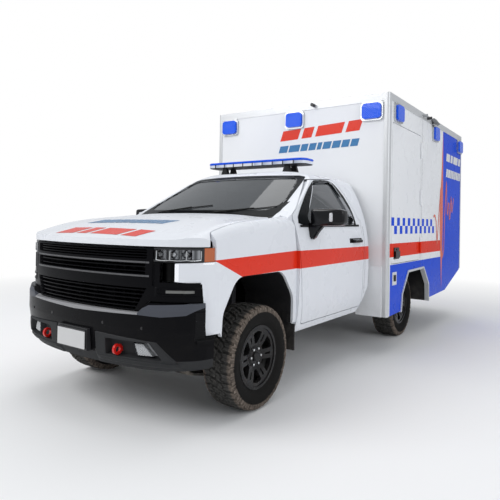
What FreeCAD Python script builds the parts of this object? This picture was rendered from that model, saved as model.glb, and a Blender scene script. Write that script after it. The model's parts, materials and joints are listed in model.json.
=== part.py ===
import FreeCAD, Part
import math
import os

os.makedirs("parts", exist_ok=True)

# Lengths are millimetres. X points to the vehicle's left, Y to its back, Z up.
# Inside this file Y is counted from the front axle. save() moves each piece so that
# the origin lies on the ground under the middle of the whole vehicle.

# Wheels, axles and overall places
wheelbase = 3340.0
track = 1727.0
tyre_radius = 407.0
tyre_width = 275.0
rim_radius = 236.0
rim_width = 226.0
front_overhang = 990.0
plate_proud = 30.0
box_front = 2172.0
box_length = 3448.0
step_reach = 170.0
overrun = 40.0
seat_gap = 0.3
panel_gap = 8.0
glass_thickness = 6.0

# Cab body
half_width = 1020.0
door_thickness = 110.0
door_skin = 35.0
door_rebate = 16.0
header_inner_x = 690.0
door_inner_lip = 12.0
cab_hinge_z = (760.0, 1010.0)
cab_hinge_height = 50.0
cab_hinge_radius = 12.0
cab_hinge_reach = 112.0
cab_hinge_foot = 60.0
door_hinge_x = 995.0
door_hinge_y = 690.0
roof_thickness = 45.0
sill_z = 505.0
floor_z = 700.0
floor_under_z = 650.0
firewall_z = 1440.0
pillar_front_y = 440.0
pillar_half_width = 955.0
wheelhouse_half_width = 450.0
wheelhouse_back_y = 530.0
wheelhouse_top_z = 1060.0
tunnel_half_width = 860.0
cowl_z = 1535.0
belt_z = 1440.0
roof_z = 2015.0
cab_front = 556.0
cab_back = 2110.0
back_wall = 60.0
firewall = 330.0
firewall_half_width = 880.0
screen_base_y = 250.0
screen_top_y = 1033.0
screen_top_z = 1932.0
screen_radius = 4200.0
screen_depth = 60.0
roof_crest_y = 1450.0
corner_cut_y = 210.0
corner_cut_z = 270.0
rear_corner_radius = 70.0
section_width_shares = (0.941, 0.980, 0.995, 1.0, 0.966, 0.892, 0.814, 0.765, 0.685, 0.45)
section_height_shares = (0.0, 0.086, 0.226, 0.365, 0.607, 0.771, 0.882, 0.929, 0.962, 0.988)

# Hood and fenders
nose_across_shares = (0.0, 0.3, 0.55, 0.75, 0.88, 0.96, 1.0)
nose_back_shares = (0.0, 0.035, 0.12, 0.26, 0.45, 0.68, 1.0)
nose_depth = 430.0
nose_inset = 34.0
hood_skin = 38.0
fender_skin = 28.0
hood_front_z = 1283.0
hood_lip = 12.0
hood_hinge_x = 810.0
hood_hinge_length = 50.0
hood_hinge_radius = 10.0
hood_hinge_y = 250.0
hood_hinge_z = 1480.0
cowl_room_z = 1462.0
cowl_room_y = 316.0
clip_height_shares = (0.0, 0.42, 0.74, 0.87, 1.0)
clip_stations = (-1000.0, -700.0, -300.0, 0.0, 300.0, 600.0)
centre_heights = (1318.0, 1405.0, 1482.0, 1516.0, 1541.0, 1556.0)
shoulder_heights = (1262.0, 1345.0, 1440.0, 1470.0, 1492.0, 1505.0)
hood_half_width = 930.0
hood_back_half_width = 900.0
hood_back_y = 262.0
hood_wrap_half_width = 1010.0
hood_wrap_y = -640.0
arch_radius = 505.0
arch_squash_share = 0.86
arch_centre_z = 560.0
arch_front_share = 0.99
fender_bottom_z = 682.0
fender_back_bottom_z = 600.0
fender_tip_y = -690.0
fender_tongue_z = 1053.0
fender_notch_y = -744.0
lamp_low_z = 1183.0
tongue_front_y = -815.0

# Bumper, grille and lamps
bumper_low_z = 440.0
bumper_top_z = 878.0
bumper_skin = 70.0
bumper_end_y = -600.0
grille_low_z = 884.0
grille_half_width = 700.0
grille_bar_count = 7
grille_bar_height = 16.0
lamp_inner_x = 724.0
lamp_outer_y = -560.0
signal_low_z = 955.0
signal_top_z = 1010.0
plate_width = 320.0
plate_height = 135.0
plate_low_z = 535.0
plate_thickness = 12.0
hook_x = 415.0
hook_y = -935.0
hook_z = 563.0
hook_hole_radius = 22.0
hook_bar = 16.0
hook_thickness = 20.0
fog_x = 620.0
fog_radius = 48.0

# Doors and windows of the cab
door_front_low_y = 634.0
door_front_mid_y = 556.0
door_front_top_y = 502.0
door_mid_z = 1231.0
door_low_z = 562.0
door_back_y = 1964.0
door_top_front_y = 1112.0
door_top_back_y = 1690.0
door_top_front_z = 1900.0
door_top_z = 1945.0
window_front_y = 700.0
window_low_z = 1452.0
window_back_y = 1838.0
window_top_front_y = 1150.0
window_top_back_y = 1600.0
window_top_front_z = 1868.0
window_top_z = 1902.0
window_radius = 55.0
door_radius = 40.0
screen_low_half_width = 838.0
screen_high_half_width = 672.0
screen_low_z = 1572.0
screen_high_z = 1912.0
screen_corner_radius = 90.0
back_window_half_width = 560.0
back_window_low_z = 1500.0
back_window_top_z = 1840.0
handle_y = 1780.0
handle_z = 1280.0
handle_length = 210.0
handle_depth = 26.0
handle_height = 30.0
mirror_y = 790.0
mirror_inner_x = 1030.0
mirror_outer_x = 1325.0
mirror_low_z = 1440.0
mirror_top_z = 1600.0
mirror_depth = 110.0
mirror_radius = 35.0
mirror_arm = 30.0

# Patient box
box_half_width = 1215.0
box_top_z = 2945.0
skirt_front_z = 428.0
skirt_back_z = 492.0
roof_rail_height = 87.0
post_width = 62.0
post_radius = 28.0
wall_thickness = 45.0
wall_recess = 6.0
deck_top_z = 970.0
deck_thickness = 60.0
chamfer_high_z = 762.0
chamfer_low_y = 4673.0
box_arch_y = (2662.0, 2703.0, 2914.0, 3541.0, 3767.0, 3790.0)
box_arch_z = (428.0, 639.0, 881.0, 889.0, 660.0, 470.0)
arch_trim = 26.0
locker_front_y = 2290.0
cabinet_wall = 30.0
locker_back_y = 3380.0
locker_low_z = 1010.0
locker_top_z = 2630.0
side_door_back_y = 3100.0
side_door_low_z = 985.0
side_door_top_z = 2630.0
rear_opening_half_width = 700.0
rear_wall_low_z = 600.0
rear_opening_low_z = 985.0
rear_opening_top_z = 2790.0
door_window_width = 420.0
door_window_low_z = 1950.0
door_window_top_z = 2550.0
box_hinge_radius = 13.0
box_hinge_length = 120.0
strap_reach = 70.0
ledge_low_z = 842.0
ledge_top_z = 994.0
ledge_depth = 14.0
ledge_inner_x = 851.0
lamp_width = 262.0
lamp_height = 216.0
lamp_depth = 26.0
lens_inset = 20.0
lens_depth = 22.0
lamp_z = 2748.0
front_lamp_x = 1011.0
side_lamp_y = (2447.0, 4000.0, 5420.0)

cabinet_depth = 450.0
bench_width = 480.0
bench_height = 450.0
bench_front_gap = 160.0
bench_back_gap = 400.0

# Inside the cab
seat_x = 390.0
seat_half_width = 255.0
seat_front_y = 1050.0
seat_length = 510.0
cushion_front_height = 390.0
cushion_back_height = 330.0
backrest_foot_height = 300.0
backrest_height = 930.0
backrest_thickness = 140.0
backrest_top_thickness = 110.0
backrest_lean = 220.0
backrest_bite = 60.0
head_rest_height = 200.0
head_rest_thickness = 80.0
head_rest_lean = 55.0
seat_edge_radius = 40.0
dash_half_width = 770.0
dash_depth = 330.0
dash_foot_depth = 180.0
dash_low_z = 1020.0
dash_knee_z = 1240.0
dash_brow_z = 1380.0
dash_top_z = 1450.0
dash_top_depth = 120.0
dash_edge_radius = 20.0
steering_radius = 185.0
steering_grip = 15.0
steering_spoke = 44.0
steering_spoke_depth = 20.0
steering_tilt_deg = 62.0
steering_z = 1320.0
steering_reach = 480.0
column_radius = 30.0
column_length = 320.0

# Running gear
rail_x = 400.0
rail_width = 70.0
rail_height = 160.0
rail_kick = 120.0
kick_start_y = 2350.0
kick_end_y = 2650.0
rail_wall = 10.0
rail_top_z = 640.0
rail_front_y = -860.0
rail_back_y = 5420.0
crossmember_y = (-800.0, 1250.0, 1900.0, 2750.0, 3950.0, 5300.0)
crossmember_depth = 60.0
cab_mount_y = (700.0, 1850.0)
tower_reach = 620.0
tower_height = 60.0
tower_half_depth = 60.0
engine_length = 620.0
engine_width = 560.0
engine_low_z = 560.0
engine_top_z = 1230.0
engine_front_y = -360.0
gearbox_length = 900.0
gearbox_radius = 145.0
gearbox_z = 495.0
shaft_radius = 45.0
radiator_y = -800.0
radiator_depth = 60.0
radiator_half_width = 400.0
radiator_low_z = 660.0
radiator_top_z = 1240.0
knuckle_x = 770.0
steer_limit_deg = 33.0
spindle_radius = 32.0
hub_radius = 82.0
bearing_gap = 0.05
axle_tube_radius = 48.0
differential_radius = 150.0
spring_half_length = 700.0
spring_x = 520.0
spring_width = 64.0
spring_leaf = 12.0
arm_thickness = 22.0
arm_root_half_depth = 200.0
arm_tip_half_depth = 32.0
ball_offset = 177.0
strut_x = 560.0
strut_radius = 42.0
upright_half_depth = 30.0
disc_radius = 165.0
disc_thickness = 28.0
disc_offset = 60.0
caliper_gap = 6.0
exhaust_radius = 38.0
muffler_radius = 95.0
muffler_length = 560.0
tank_length = 950.0
tank_width = 330.0
tank_height = 300.0

# Light bar and roof gear
bar_y = 1390.0
bar_z = 2140.0
bar_half_length = 685.0
bar_depth = 290.0
bar_height = 62.0
bar_foot_x = 415.0

body_length = plate_proud + front_overhang + box_front + box_length + step_reach
front_axle_y = plate_proud + front_overhang - body_length / 2
box_back = box_front + box_length
wheel_x = track / 2


def vec(x, y, z):
    return FreeCAD.Vector(x, y, z)


AXIS_X = vec(1, 0, 0)
AXIS_Y = vec(0, 1, 0)
AXIS_Z = vec(0, 0, 1)
ORIGIN = vec(0, 0, 0)


def block(xs, ys, zs):
    """A box between two values along each axis."""
    return Part.makeBox(xs[1] - xs[0], ys[1] - ys[0], zs[1] - zs[0], vec(xs[0], ys[0], zs[0]))


def closed(points):
    return Part.Face(Part.makePolygon(list(points) + [points[0]]))


def rounded(points, radius):
    """A flat face through the points, its corners rounded."""
    count = len(points)
    edges = []
    starts, ends, middles = [], [], []
    for i in range(count):
        here = points[i]
        to_last = points[i - 1] - here
        to_next = points[(i + 1) % count] - here
        half = to_last.getAngle(to_next) / 2
        reach = min(radius / math.tan(half), min(to_last.Length, to_next.Length) / 2.05)
        size = reach * math.tan(half)
        last_way = to_last.normalize()
        next_way = to_next.normalize()
        starts.append(here + last_way * reach)
        ends.append(here + next_way * reach)
        inward = (last_way + next_way).normalize()
        middles.append(here + inward * (size / math.sin(half) - size))
    for i in range(count):
        edges.append(Part.Arc(starts[i], middles[i], ends[i]).toShape())
        edges.append(Part.LineSegment(ends[i], starts[(i + 1) % count]).toShape())
    return Part.Face(Part.Wire(edges))


def prism_x(outline, xs, radius=0):
    """An outline of (y, z) pairs drawn out along X."""
    points = [vec(xs[0], y, z) for y, z in outline]
    face = rounded(points, radius) if radius else closed(points)
    return face.extrude(AXIS_X * (xs[1] - xs[0]))


def prism_y(outline, ys, radius=0):
    """An outline of (x, z) pairs drawn out along Y."""
    points = [vec(x, ys[0], z) for x, z in outline]
    face = rounded(points, radius) if radius else closed(points)
    return face.extrude(AXIS_Y * (ys[1] - ys[0]))


def prism_z(outline, zs, radius=0):
    """An outline of (x, y) pairs drawn out along Z."""
    points = [vec(x, y, zs[0]) for x, y in outline]
    face = rounded(points, radius) if radius else closed(points)
    return face.extrude(AXIS_Z * (zs[1] - zs[0]))


def rod(start, end, radius):
    return Part.makeCylinder(radius, (end - start).Length, start, end - start)


def smooth(points):
    curve = Part.BSplineCurve()
    curve.interpolate(points)
    return curve.toShape()


def mirrored(shape):
    return shape.mirror(ORIGIN, AXIS_X)


def both(shape):
    return Part.makeCompound([shape, mirrored(shape)])


def fused(shapes):
    whole = shapes[0]
    for other in shapes[1:]:
        whole = whole.fuse(other)
    return whole.removeSplitter()


def save(name, shape):
    shape.translate(vec(0, front_axle_y, 0))
    shape.exportStep("parts/" + name + ".step")


def between(low, high, share):
    return low + (high - low) * share


def wide():
    return (-half_width - overrun, half_width + overrun)


# Cab


def cab_section(inset, low_z, top_z):
    """The cab's cross-section, drawn out along Y over the whole cab."""
    width = half_width - inset
    left = []
    for across, up in zip(section_width_shares, section_height_shares):
        left.append((across * width, between(low_z, top_z, up)))
    right = [(-x, z) for x, z in left]
    points = left + [(0, top_z)] + right[::-1]
    y = -overrun
    curve = smooth([vec(x, y, z) for x, z in points])
    base = Part.LineSegment(vec(-points[0][0], y, low_z), vec(points[0][0], y, low_z)).toShape()
    face = Part.Face(Part.Wire([curve, base]))
    return face.extrude(AXIS_Y * (cab_back + 2 * overrun))


def screen_cylinder(inset):
    """What lies behind the curved windscreen, as a leaning cylinder."""
    rise = math.atan2(screen_top_z - cowl_z, screen_top_y - screen_base_y)
    way = vec(0, math.cos(rise), math.sin(rise))
    out = vec(0, -math.sin(rise), math.cos(rise))
    base = vec(0, screen_base_y, cowl_z)
    length = cab_back + roof_z
    start = base - out * screen_radius - way * (length / 2)
    return Part.makeCylinder(screen_radius - inset, 2 * length, start, way)


def cab_profile(inset, low_z):
    """The cab's side profile: firewall, windscreen foot, roof and back."""
    top = roof_z - inset
    back = cab_back - (back_wall if inset else 0)
    front = hood_back_y if not inset else firewall + back_wall
    corner_y = corner_cut_y if not inset else 0
    corner_z = corner_cut_z if not inset else 0
    foot = vec(0, front, low_z)
    nose = vec(0, front, cowl_z)
    brow = vec(0, screen_top_y, screen_top_z + overrun / 2 - inset)
    crest = vec(0, roof_crest_y, top)
    rear = vec(0, back - rear_corner_radius, top - hood_lip)
    edges = [
        Part.LineSegment(foot, nose).toShape(),
        Part.LineSegment(nose, brow).toShape(),
        smooth([brow, vec(0, between(screen_top_y, roof_crest_y, 0.5), top - hood_lip), crest, rear]),
    ]
    low_back = vec(0, back, low_z + corner_z)
    high_back = vec(0, back, top - rear_corner_radius)
    edges.append(Part.LineSegment(rear, high_back).toShape())
    edges.append(Part.LineSegment(high_back, low_back).toShape())
    cut = vec(0, back - corner_y, low_z)
    if corner_y:
        edges.append(Part.LineSegment(low_back, cut).toShape())
    edges.append(Part.LineSegment(cut, foot).toShape())
    face = Part.Face(Part.Wire(edges))
    solid = face.extrude(AXIS_X * (2 * half_width + 2 * overrun))
    solid.translate(vec(-half_width - overrun, 0, 0))
    return solid


def cab_volume(inset, roof_inset, low_z):
    body = cab_section(inset, low_z, roof_z - roof_inset)
    body = body.common(cab_profile(roof_inset, low_z))
    if roof_inset:
        return body.common(screen_cylinder(screen_depth))
    return body.common(screen_cylinder(0))



def door_outline(gap):
    """The cab door in side view, its shut line drawn in by a gap, reaching less far in at the sill."""
    outline = [
        (door_front_low_y, door_low_z),
        (door_front_mid_y, door_mid_z),
        (door_front_top_y, cowl_z),
        (door_top_front_y, door_top_front_z),
        (door_top_back_y, door_top_z),
        (door_back_y, belt_z + door_radius),
        (door_back_y, door_low_z),
    ]
    face = rounded([vec(0, y, z) for y, z in outline], door_radius)
    if gap:
        face = face.makeOffset2D(-gap)
    high = face.copy()
    high.translate(AXIS_X * (header_inner_x + gap))
    low_x = half_width - door_thickness - door_inner_lip + gap
    face.translate(AXIS_X * low_x)
    whole = high.extrude(AXIS_X * half_width)
    whole = whole.common(block((0, 2 * half_width), (0, cab_back), (floor_z + gap, roof_z)))
    return whole.fuse(face.extrude(AXIS_X * half_width)).removeSplitter()


def window_outline(gap):
    outline = [
        (window_front_y, window_low_z),
        (window_top_front_y, window_top_front_z),
        (window_top_back_y, window_top_z),
        (window_back_y, window_low_z + glass_thickness),
    ]
    face = rounded([vec(0, y, z) for y, z in outline], window_radius)
    if gap:
        face = face.makeOffset2D(-gap)
    face.translate(AXIS_X * (half_width / 2))
    return face.extrude(AXIS_X * half_width)


def screen_outline(gap):
    """The windscreen opening in front view."""
    outline = [
        (-screen_low_half_width, screen_low_z),
        (screen_low_half_width, screen_low_z),
        (screen_high_half_width, screen_high_z),
        (-screen_high_half_width, screen_high_z),
    ]
    face = rounded([vec(x, 0, z) for x, z in outline], screen_corner_radius)
    if gap:
        face = face.makeOffset2D(-gap)
    return face.extrude(AXIS_Y * (roof_crest_y - panel_gap))


def back_window(gap, ys):
    half = back_window_half_width - gap
    outline = [
        (-half, back_window_low_z + gap),
        (half, back_window_low_z + gap),
        (half * 0.94, back_window_top_z - gap),
        (-half * 0.94, back_window_top_z - gap),
    ]
    return prism_y(outline, ys, window_radius)


def cab_hinges():
    """Goose-neck hinge arms from the pillar round to the door's pivot line."""
    arms = []
    radius = cab_hinge_radius
    inner_x = door_hinge_x - cab_hinge_reach
    for z in cab_hinge_z:
        zs = (z - cab_hinge_height / 2 + seat_gap, z + cab_hinge_height / 2 - seat_gap)
        eye = rod(vec(door_hinge_x, door_hinge_y, zs[0]), vec(door_hinge_x, door_hinge_y, zs[1]), radius)
        neck = block((inner_x - radius, door_hinge_x), (door_hinge_y - radius / 2, door_hinge_y + radius / 2), zs)
        leg = block((inner_x - radius, inner_x), (cab_front - 2 * radius, door_hinge_y), zs)
        foot = block((inner_x - radius, inner_x + cab_hinge_foot), (cab_front - 2 * radius, cab_front), zs)
        arms.append(fused([eye, neck, leg, foot]))
    return arms


def hinge_pockets():
    """Room in the door for the hinge arms through its whole swing."""
    rooms = []
    radius = cab_hinge_radius
    for z in cab_hinge_z:
        zs = (z - cab_hinge_height / 2, z + cab_hinge_height / 2)
        rooms.append(rod(vec(door_hinge_x, door_hinge_y, zs[0]), vec(door_hinge_x, door_hinge_y, zs[1]),
                         radius + seat_gap))
        rooms.append(block((0, door_hinge_x - radius / 2), (0, door_hinge_y + radius), zs))
        rooms.append(block((0, door_hinge_x + radius / 2), (door_hinge_y - 3 * radius, door_hinge_y + radius), zs))
    return rooms


def cab_shell(outer, inner, fender):
    shell = outer.cut(inner)
    shell = shell.cut(block(wide(), (-overrun, firewall), (0, firewall_z)))
    shell = shell.cut(block(wide(), (-overrun, cowl_room_y), (cowl_room_z, roof_z)))
    for side in (1, -1):
        far = side * (half_width + overrun)
        fender_room = block(sorted((side * pillar_half_width, far)), (-overrun, cab_front), (0, cowl_z))
        shell = shell.cut(fender_room)
        front_room = block(sorted((side * firewall_half_width, far)), (-overrun, pillar_front_y), (0, cowl_z))
        shell = shell.cut(front_room)
        wheelhouse = block(sorted((side * wheelhouse_half_width, far)),
                           (-overrun, wheelhouse_back_y), (0, wheelhouse_top_z))
        shell = shell.cut(wheelhouse)
    under = block((-tunnel_half_width, tunnel_half_width), (-overrun, cab_back + overrun), (0, floor_under_z))
    shell = shell.cut(under)
    opening = door_outline(0)
    shell = shell.cut(opening).cut(mirrored(opening))
    shell = shell.cut(screen_outline(0))
    shell = shell.cut(back_window(0, (cab_back - back_wall - overrun, cab_back + overrun)))
    for step in (ORIGIN, vec(-2 * seat_gap, 0, 0), vec(0, 2 * seat_gap, 0)):
        seat_room = fender.copy()
        seat_room.translate(step)
        shell = shell.cut(seat_room).cut(mirrored(seat_room))
    for hinge in cab_hinges() + cowl_barrels():
        shell = shell.fuse(hinge).fuse(mirrored(hinge))
    solids = sorted(shell.Solids, key=lambda solid: solid.Volume)
    return solids[-1]


def cab_glass():
    sheet = screen_cylinder(glass_thickness).cut(screen_cylinder(2 * glass_thickness))
    screen = sheet.common(screen_outline(seat_gap))
    middle = cab_back - back_wall / 2
    back = back_window(seat_gap, (middle, middle + glass_thickness))
    return Part.makeCompound([screen, back])


def door_left(outer, inner):
    middle = cab_volume(door_skin, 0, sill_z)
    skin = outer.cut(middle).common(door_outline(panel_gap))
    core = middle.cut(inner).common(door_outline(panel_gap + door_rebate))
    door = skin.fuse(core).removeSplitter()
    door = door.cut(window_outline(0))
    for room in hinge_pockets():
        door = door.cut(room)
    lowest = handle_z - handle_height / 2
    face_x = half_width - door_skin / 2
    grip = block((face_x, half_width + handle_depth), (handle_y - handle_length / 2, handle_y + handle_length / 2),
                 (lowest, lowest + handle_height))
    edges = [edge for edge in grip.Edges if abs(edge.BoundBox.XMax - half_width - handle_depth) < seat_gap]
    grip = grip.makeFillet(handle_depth / 3, edges)
    return door.fuse(grip)


def door_glass():
    sheet = cab_section(door_skin, sill_z, roof_z).cut(cab_section(door_skin + glass_thickness, sill_z, roof_z))
    return sheet.common(window_outline(seat_gap))


def mirror_left():
    head = prism_x([(mirror_y - mirror_depth / 2, mirror_low_z),
                    (mirror_y + mirror_depth / 2, mirror_low_z),
                    (mirror_y + mirror_depth / 2, mirror_top_z),
                    (mirror_y - mirror_depth / 2, mirror_top_z)],
                   (mirror_inner_x, mirror_outer_x), mirror_radius)
    arm_z_low = mirror_low_z - mirror_arm
    arm = prism_y([(half_width - door_skin, arm_z_low - 3 * mirror_arm),
                   (half_width + mirror_arm, arm_z_low - 2 * mirror_arm),
                   (mirror_inner_x + 3 * mirror_arm, mirror_low_z + mirror_arm),
                   (half_width - door_skin, mirror_low_z)],
                  (mirror_y - mirror_arm * 1.5, mirror_y + mirror_arm))
    return head.fuse(arm).removeSplitter()


# Hood and fenders


def nose_points(inset, z):
    """The rounded nose in plan, from right to left."""
    width = half_width - inset
    left = []
    for across, back in zip(nose_across_shares, nose_back_shares):
        left.append(vec(across * width, back * nose_depth + inset - front_overhang, z))
    return [vec(-p.x, p.y, p.z) for p in left[:0:-1]] + left


def nose_solid(inset, zs, back_y=cab_back):
    points = nose_points(inset, zs[0])
    curve = smooth(points)
    back_left = vec(points[-1].x, back_y, zs[0])
    back_right = vec(points[0].x, back_y, zs[0])
    edges = [curve]
    edges.append(Part.LineSegment(points[-1], back_left).toShape())
    edges.append(Part.LineSegment(back_left, back_right).toShape())
    edges.append(Part.LineSegment(back_right, points[0]).toShape())
    return Part.Face(Part.Wire(edges)).extrude(AXIS_Z * (zs[1] - zs[0]))


def clip_section(y, centre, shoulder, inset):
    width = half_width - inset
    centre = centre - inset
    shoulder = shoulder - inset
    drop = centre - shoulder
    base = fender_back_bottom_z - overrun
    side = [
        (0.955, base),
        (0.985, between(base, shoulder, 0.24)),
        (1.0, between(base, shoulder, 0.52)),
        (0.998, between(base, shoulder, 0.74)),
        (0.978, between(base, shoulder, 0.9)),
        (0.915, shoulder),
        (0.8, centre - 0.62 * drop),
        (0.6, centre - 0.3 * drop),
        (0.3, centre - 0.06 * drop),
    ]
    left = [vec(across * width, y, z) for across, z in side]
    right = [vec(-p.x, p.y, p.z) for p in left[::-1]]
    points = left + [vec(0, y, centre)] + right
    curve = smooth(points)
    base_line = Part.LineSegment(points[-1], points[0]).toShape()
    return Part.Wire([curve, base_line])


def clip_volume(inset):
    wires = []
    for y, centre, shoulder in zip(clip_stations, centre_heights, shoulder_heights):
        wires.append(clip_section(y, centre, shoulder, inset))
    whole = Part.makeLoft(wires, True, False)
    return whole.common(nose_solid(nose_inset + inset, (0, roof_z)))


def hood_outline(gap):
    outline = [
        (-hood_wrap_half_width, -front_overhang - overrun),
        (hood_wrap_half_width, -front_overhang - overrun),
        (hood_wrap_half_width, hood_wrap_y - gap),
        (hood_half_width - gap, hood_wrap_y + 2 * overrun - gap),
        (hood_back_half_width - gap, hood_back_y - gap),
        (-hood_back_half_width + gap, hood_back_y - gap),
        (-hood_half_width + gap, hood_wrap_y + 2 * overrun - gap),
        (-hood_wrap_half_width, hood_wrap_y - gap),
    ]
    return prism_z(outline, (hood_front_z + gap / 2, roof_z), door_radius)


def hood_barrel(x0, x1, extra):
    start = vec(x0 - extra, hood_hinge_y, hood_hinge_z)
    end = vec(x1 + extra, hood_hinge_y, hood_hinge_z)
    return rod(start, end, hood_hinge_radius + extra)


def cowl_barrels():
    """Hinge barrels either side of each hood barrel, on straps from the cowl."""
    pieces = []
    for x0 in (hood_hinge_x - 2 * hood_hinge_radius - seat_gap, hood_hinge_x + hood_hinge_length + seat_gap):
        x1 = x0 + 2 * hood_hinge_radius
        strap = block((x0, x1), (hood_hinge_y, hood_hinge_y + strap_reach),
                      (hood_hinge_z - 0.8 * hood_hinge_radius, hood_hinge_z + 0.2 * hood_hinge_radius))
        pieces.append(hood_barrel(x0, x1, 0).fuse(strap))
    return pieces


def hood(outer, under):
    panel = outer.cut(under).common(hood_outline(panel_gap))
    lift = hood_hinge_z + 1.2 * hood_hinge_radius
    for x0 in (hood_hinge_x - 2 * hood_hinge_radius - seat_gap, hood_hinge_x + hood_hinge_length + seat_gap):
        x1 = x0 + 2 * hood_hinge_radius
        pocket = block((x0 - seat_gap, x1 + seat_gap), (hood_hinge_y - 1.5 * hood_hinge_radius, hood_back_y), (cowl_room_z - strap_reach, lift))
        panel = panel.cut(pocket).cut(mirrored(pocket))
    barrel = hood_barrel(hood_hinge_x, hood_hinge_x + hood_hinge_length, 0)
    return fused([panel, barrel, mirrored(barrel)])


def arch_outline():
    low = sill_z - 2 * overrun
    top = arch_centre_z + arch_radius * arch_front_share
    return [
        (-arch_radius, low),
        (-arch_radius * 0.95, between(arch_centre_z, top, 0.5)),
        (-arch_radius * 0.62, top),
        (arch_radius * 0.64, top),
        (arch_radius, between(arch_centre_z, top, 0.55)),
        (arch_radius * 0.985, low),
    ]


def fender_outline():
    return [
        (door_front_low_y - panel_gap * 1.6, fender_back_bottom_z),
        (door_front_mid_y - panel_gap, door_mid_z),
        (door_front_top_y - panel_gap * 1.5, cowl_z),
        (door_front_top_y - panel_gap * 1.5, roof_z),
        (hood_wrap_y - panel_gap, roof_z),
        (lamp_outer_y, hood_front_z),
        (lamp_outer_y, lamp_low_z),
        (tongue_front_y, lamp_low_z - panel_gap),
        (tongue_front_y, fender_tongue_z),
        (fender_notch_y, fender_tongue_z - panel_gap),
        (fender_tip_y, fender_bottom_z),
        (-arch_radius, fender_bottom_z),
        (-arch_radius + overrun, fender_back_bottom_z),
    ]


def fender_left(outer):
    inner = clip_volume(fender_skin)
    xs = (half_width / 2, half_width + overrun)
    skin = outer.cut(inner).common(prism_x(fender_outline(), xs))
    skin = skin.cut(hood_outline(0))
    skin = skin.cut(block((0, hood_back_half_width), (hood_wrap_y, cab_back), (0, roof_z)))
    skin = skin.cut(prism_x(arch_outline(), xs, arch_radius / 3))
    solids = sorted(skin.Solids, key=lambda solid: solid.Volume)
    return solids[-1]


def front_bumper():
    levels = (bumper_low_z, between(bumper_low_z, bumper_top_z, 0.18), between(bumper_low_z, bumper_top_z, 0.6),
              between(bumper_low_z, bumper_top_z, 0.93), bumper_top_z)
    insets = (bumper_skin, bumper_skin * 0.3, 0, 0, bumper_skin * 0.2)

    def stack(extra, low, high):
        wires = []
        for z, inset in zip(levels, insets):
            z = low + (z - bumper_low_z) * (high - low) / (bumper_top_z - bumper_low_z)
            points = nose_points(inset + extra, z)
            back = Part.LineSegment(points[-1], points[0]).toShape()
            wires.append(Part.Wire([smooth(points), back]))
        return Part.makeLoft(wires, True, False)

    outer = stack(0, bumper_low_z, bumper_top_z)
    inner = stack(bumper_skin, bumper_low_z - overrun, bumper_top_z + overrun)
    bumper = outer.cut(inner).cut(block(wide(), (bumper_end_y, 0), (0, roof_z)))
    recess = [
        (hook_x - 2 * overrun, hook_z - overrun),
        (fog_x + 2 * overrun, hook_z - overrun),
        (fog_x + overrun, hook_z + 2 * overrun),
        (hook_x - 2 * overrun, hook_z + 2 * overrun),
    ]
    room = prism_y(recess, (-front_overhang - overrun, bumper_end_y), overrun / 2)
    bumper = bumper.cut(room).cut(mirrored(room))
    for side in (1, -1):
        fender_room = block(sorted((side * half_width / 2, side * 2 * half_width)), (fender_notch_y - panel_gap, 0),
                            (fender_bottom_z - panel_gap, roof_z))
        bumper = bumper.cut(fender_room)
    return bumper


def nose_shell(near, far, zs):
    shell = nose_solid(nose_inset + near, zs).cut(nose_solid(nose_inset + far, (zs[0] - overrun, zs[1] + overrun)))
    return shell.cut(block(wide(), (lamp_outer_y, cab_back + overrun), (0, roof_z)))


def grille():
    zs = (grille_low_z, hood_front_z - panel_gap)
    depth = 2 * overrun
    reach = (-front_overhang - overrun, lamp_outer_y)
    frame = nose_shell(0, depth, zs)
    half = grille_half_width
    lower = prism_y([(-half, zs[0] + overrun / 2), (half, zs[0] + overrun / 2),
                     (half, between(zs[0], zs[1], 0.5)), (-half, between(zs[0], zs[1], 0.5))], reach, overrun / 2)
    upper = prism_y([(-half, between(zs[0], zs[1], 0.62)), (half, between(zs[0], zs[1], 0.62)),
                     (half, zs[1] - overrun / 3), (-half, zs[1] - overrun / 3)], reach, overrun / 2)
    frame = frame.cut(lower).cut(upper)
    bars = []
    for i in range(grille_bar_count):
        z = between(zs[0] + overrun / 2, zs[1] - overrun / 3, (i + 0.5) / grille_bar_count)
        bar = nose_shell(overrun / 4, overrun, (z, z + grille_bar_height))
        bars.append(bar.common(block((-half - overrun / 4, half + overrun / 4), reach, (0, roof_z))))
    frame = fused([frame] + bars)
    for side in (1, -1):
        lamp_room = block(sorted((side * lamp_inner_x, side * 2 * half_width)), (-2 * half_width, 0),
                          (lamp_low_z - panel_gap / 2, roof_z))
        frame = frame.cut(lamp_room)
        far = sorted((side * half_width / 2, side * 2 * half_width))
        tongue_room = block(far, (tongue_front_y - panel_gap, 0), (fender_tongue_z - panel_gap, roof_z))
        frame = frame.cut(tongue_room)
        notch_room = block(far, (fender_notch_y - panel_gap, 0), (0, roof_z))
        frame = frame.cut(notch_room)
        signal_room = block(sorted((side * lamp_inner_x, side * 2 * half_width)), (-2 * half_width, 0),
                            (signal_low_z, signal_top_z))
        frame = frame.cut(signal_room)
    solids = sorted(frame.Solids, key=lambda solid: solid.Volume)
    return Part.makeCompound([solid for solid in solids if solid.Volume > overrun ** 3])


def headlamps():
    pieces = []
    for side in (1, -1):
        reach = (-front_overhang, lamp_outer_y - panel_gap / 2)
        high = nose_shell(panel_gap / 2, bumper_skin, (lamp_low_z, hood_front_z - panel_gap / 2))
        high = high.common(block(sorted((side * (lamp_inner_x + seat_gap), side * half_width)), reach, (0, roof_z)))
        low = nose_shell(panel_gap / 2, bumper_skin, (signal_low_z + seat_gap, signal_top_z - seat_gap))
        low = low.common(block(sorted((side * (lamp_inner_x + seat_gap), side * half_width)),
                               (-front_overhang, fender_notch_y - panel_gap), (0, roof_z)))
        pieces += [high, low]
    return Part.makeCompound(pieces)


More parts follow.
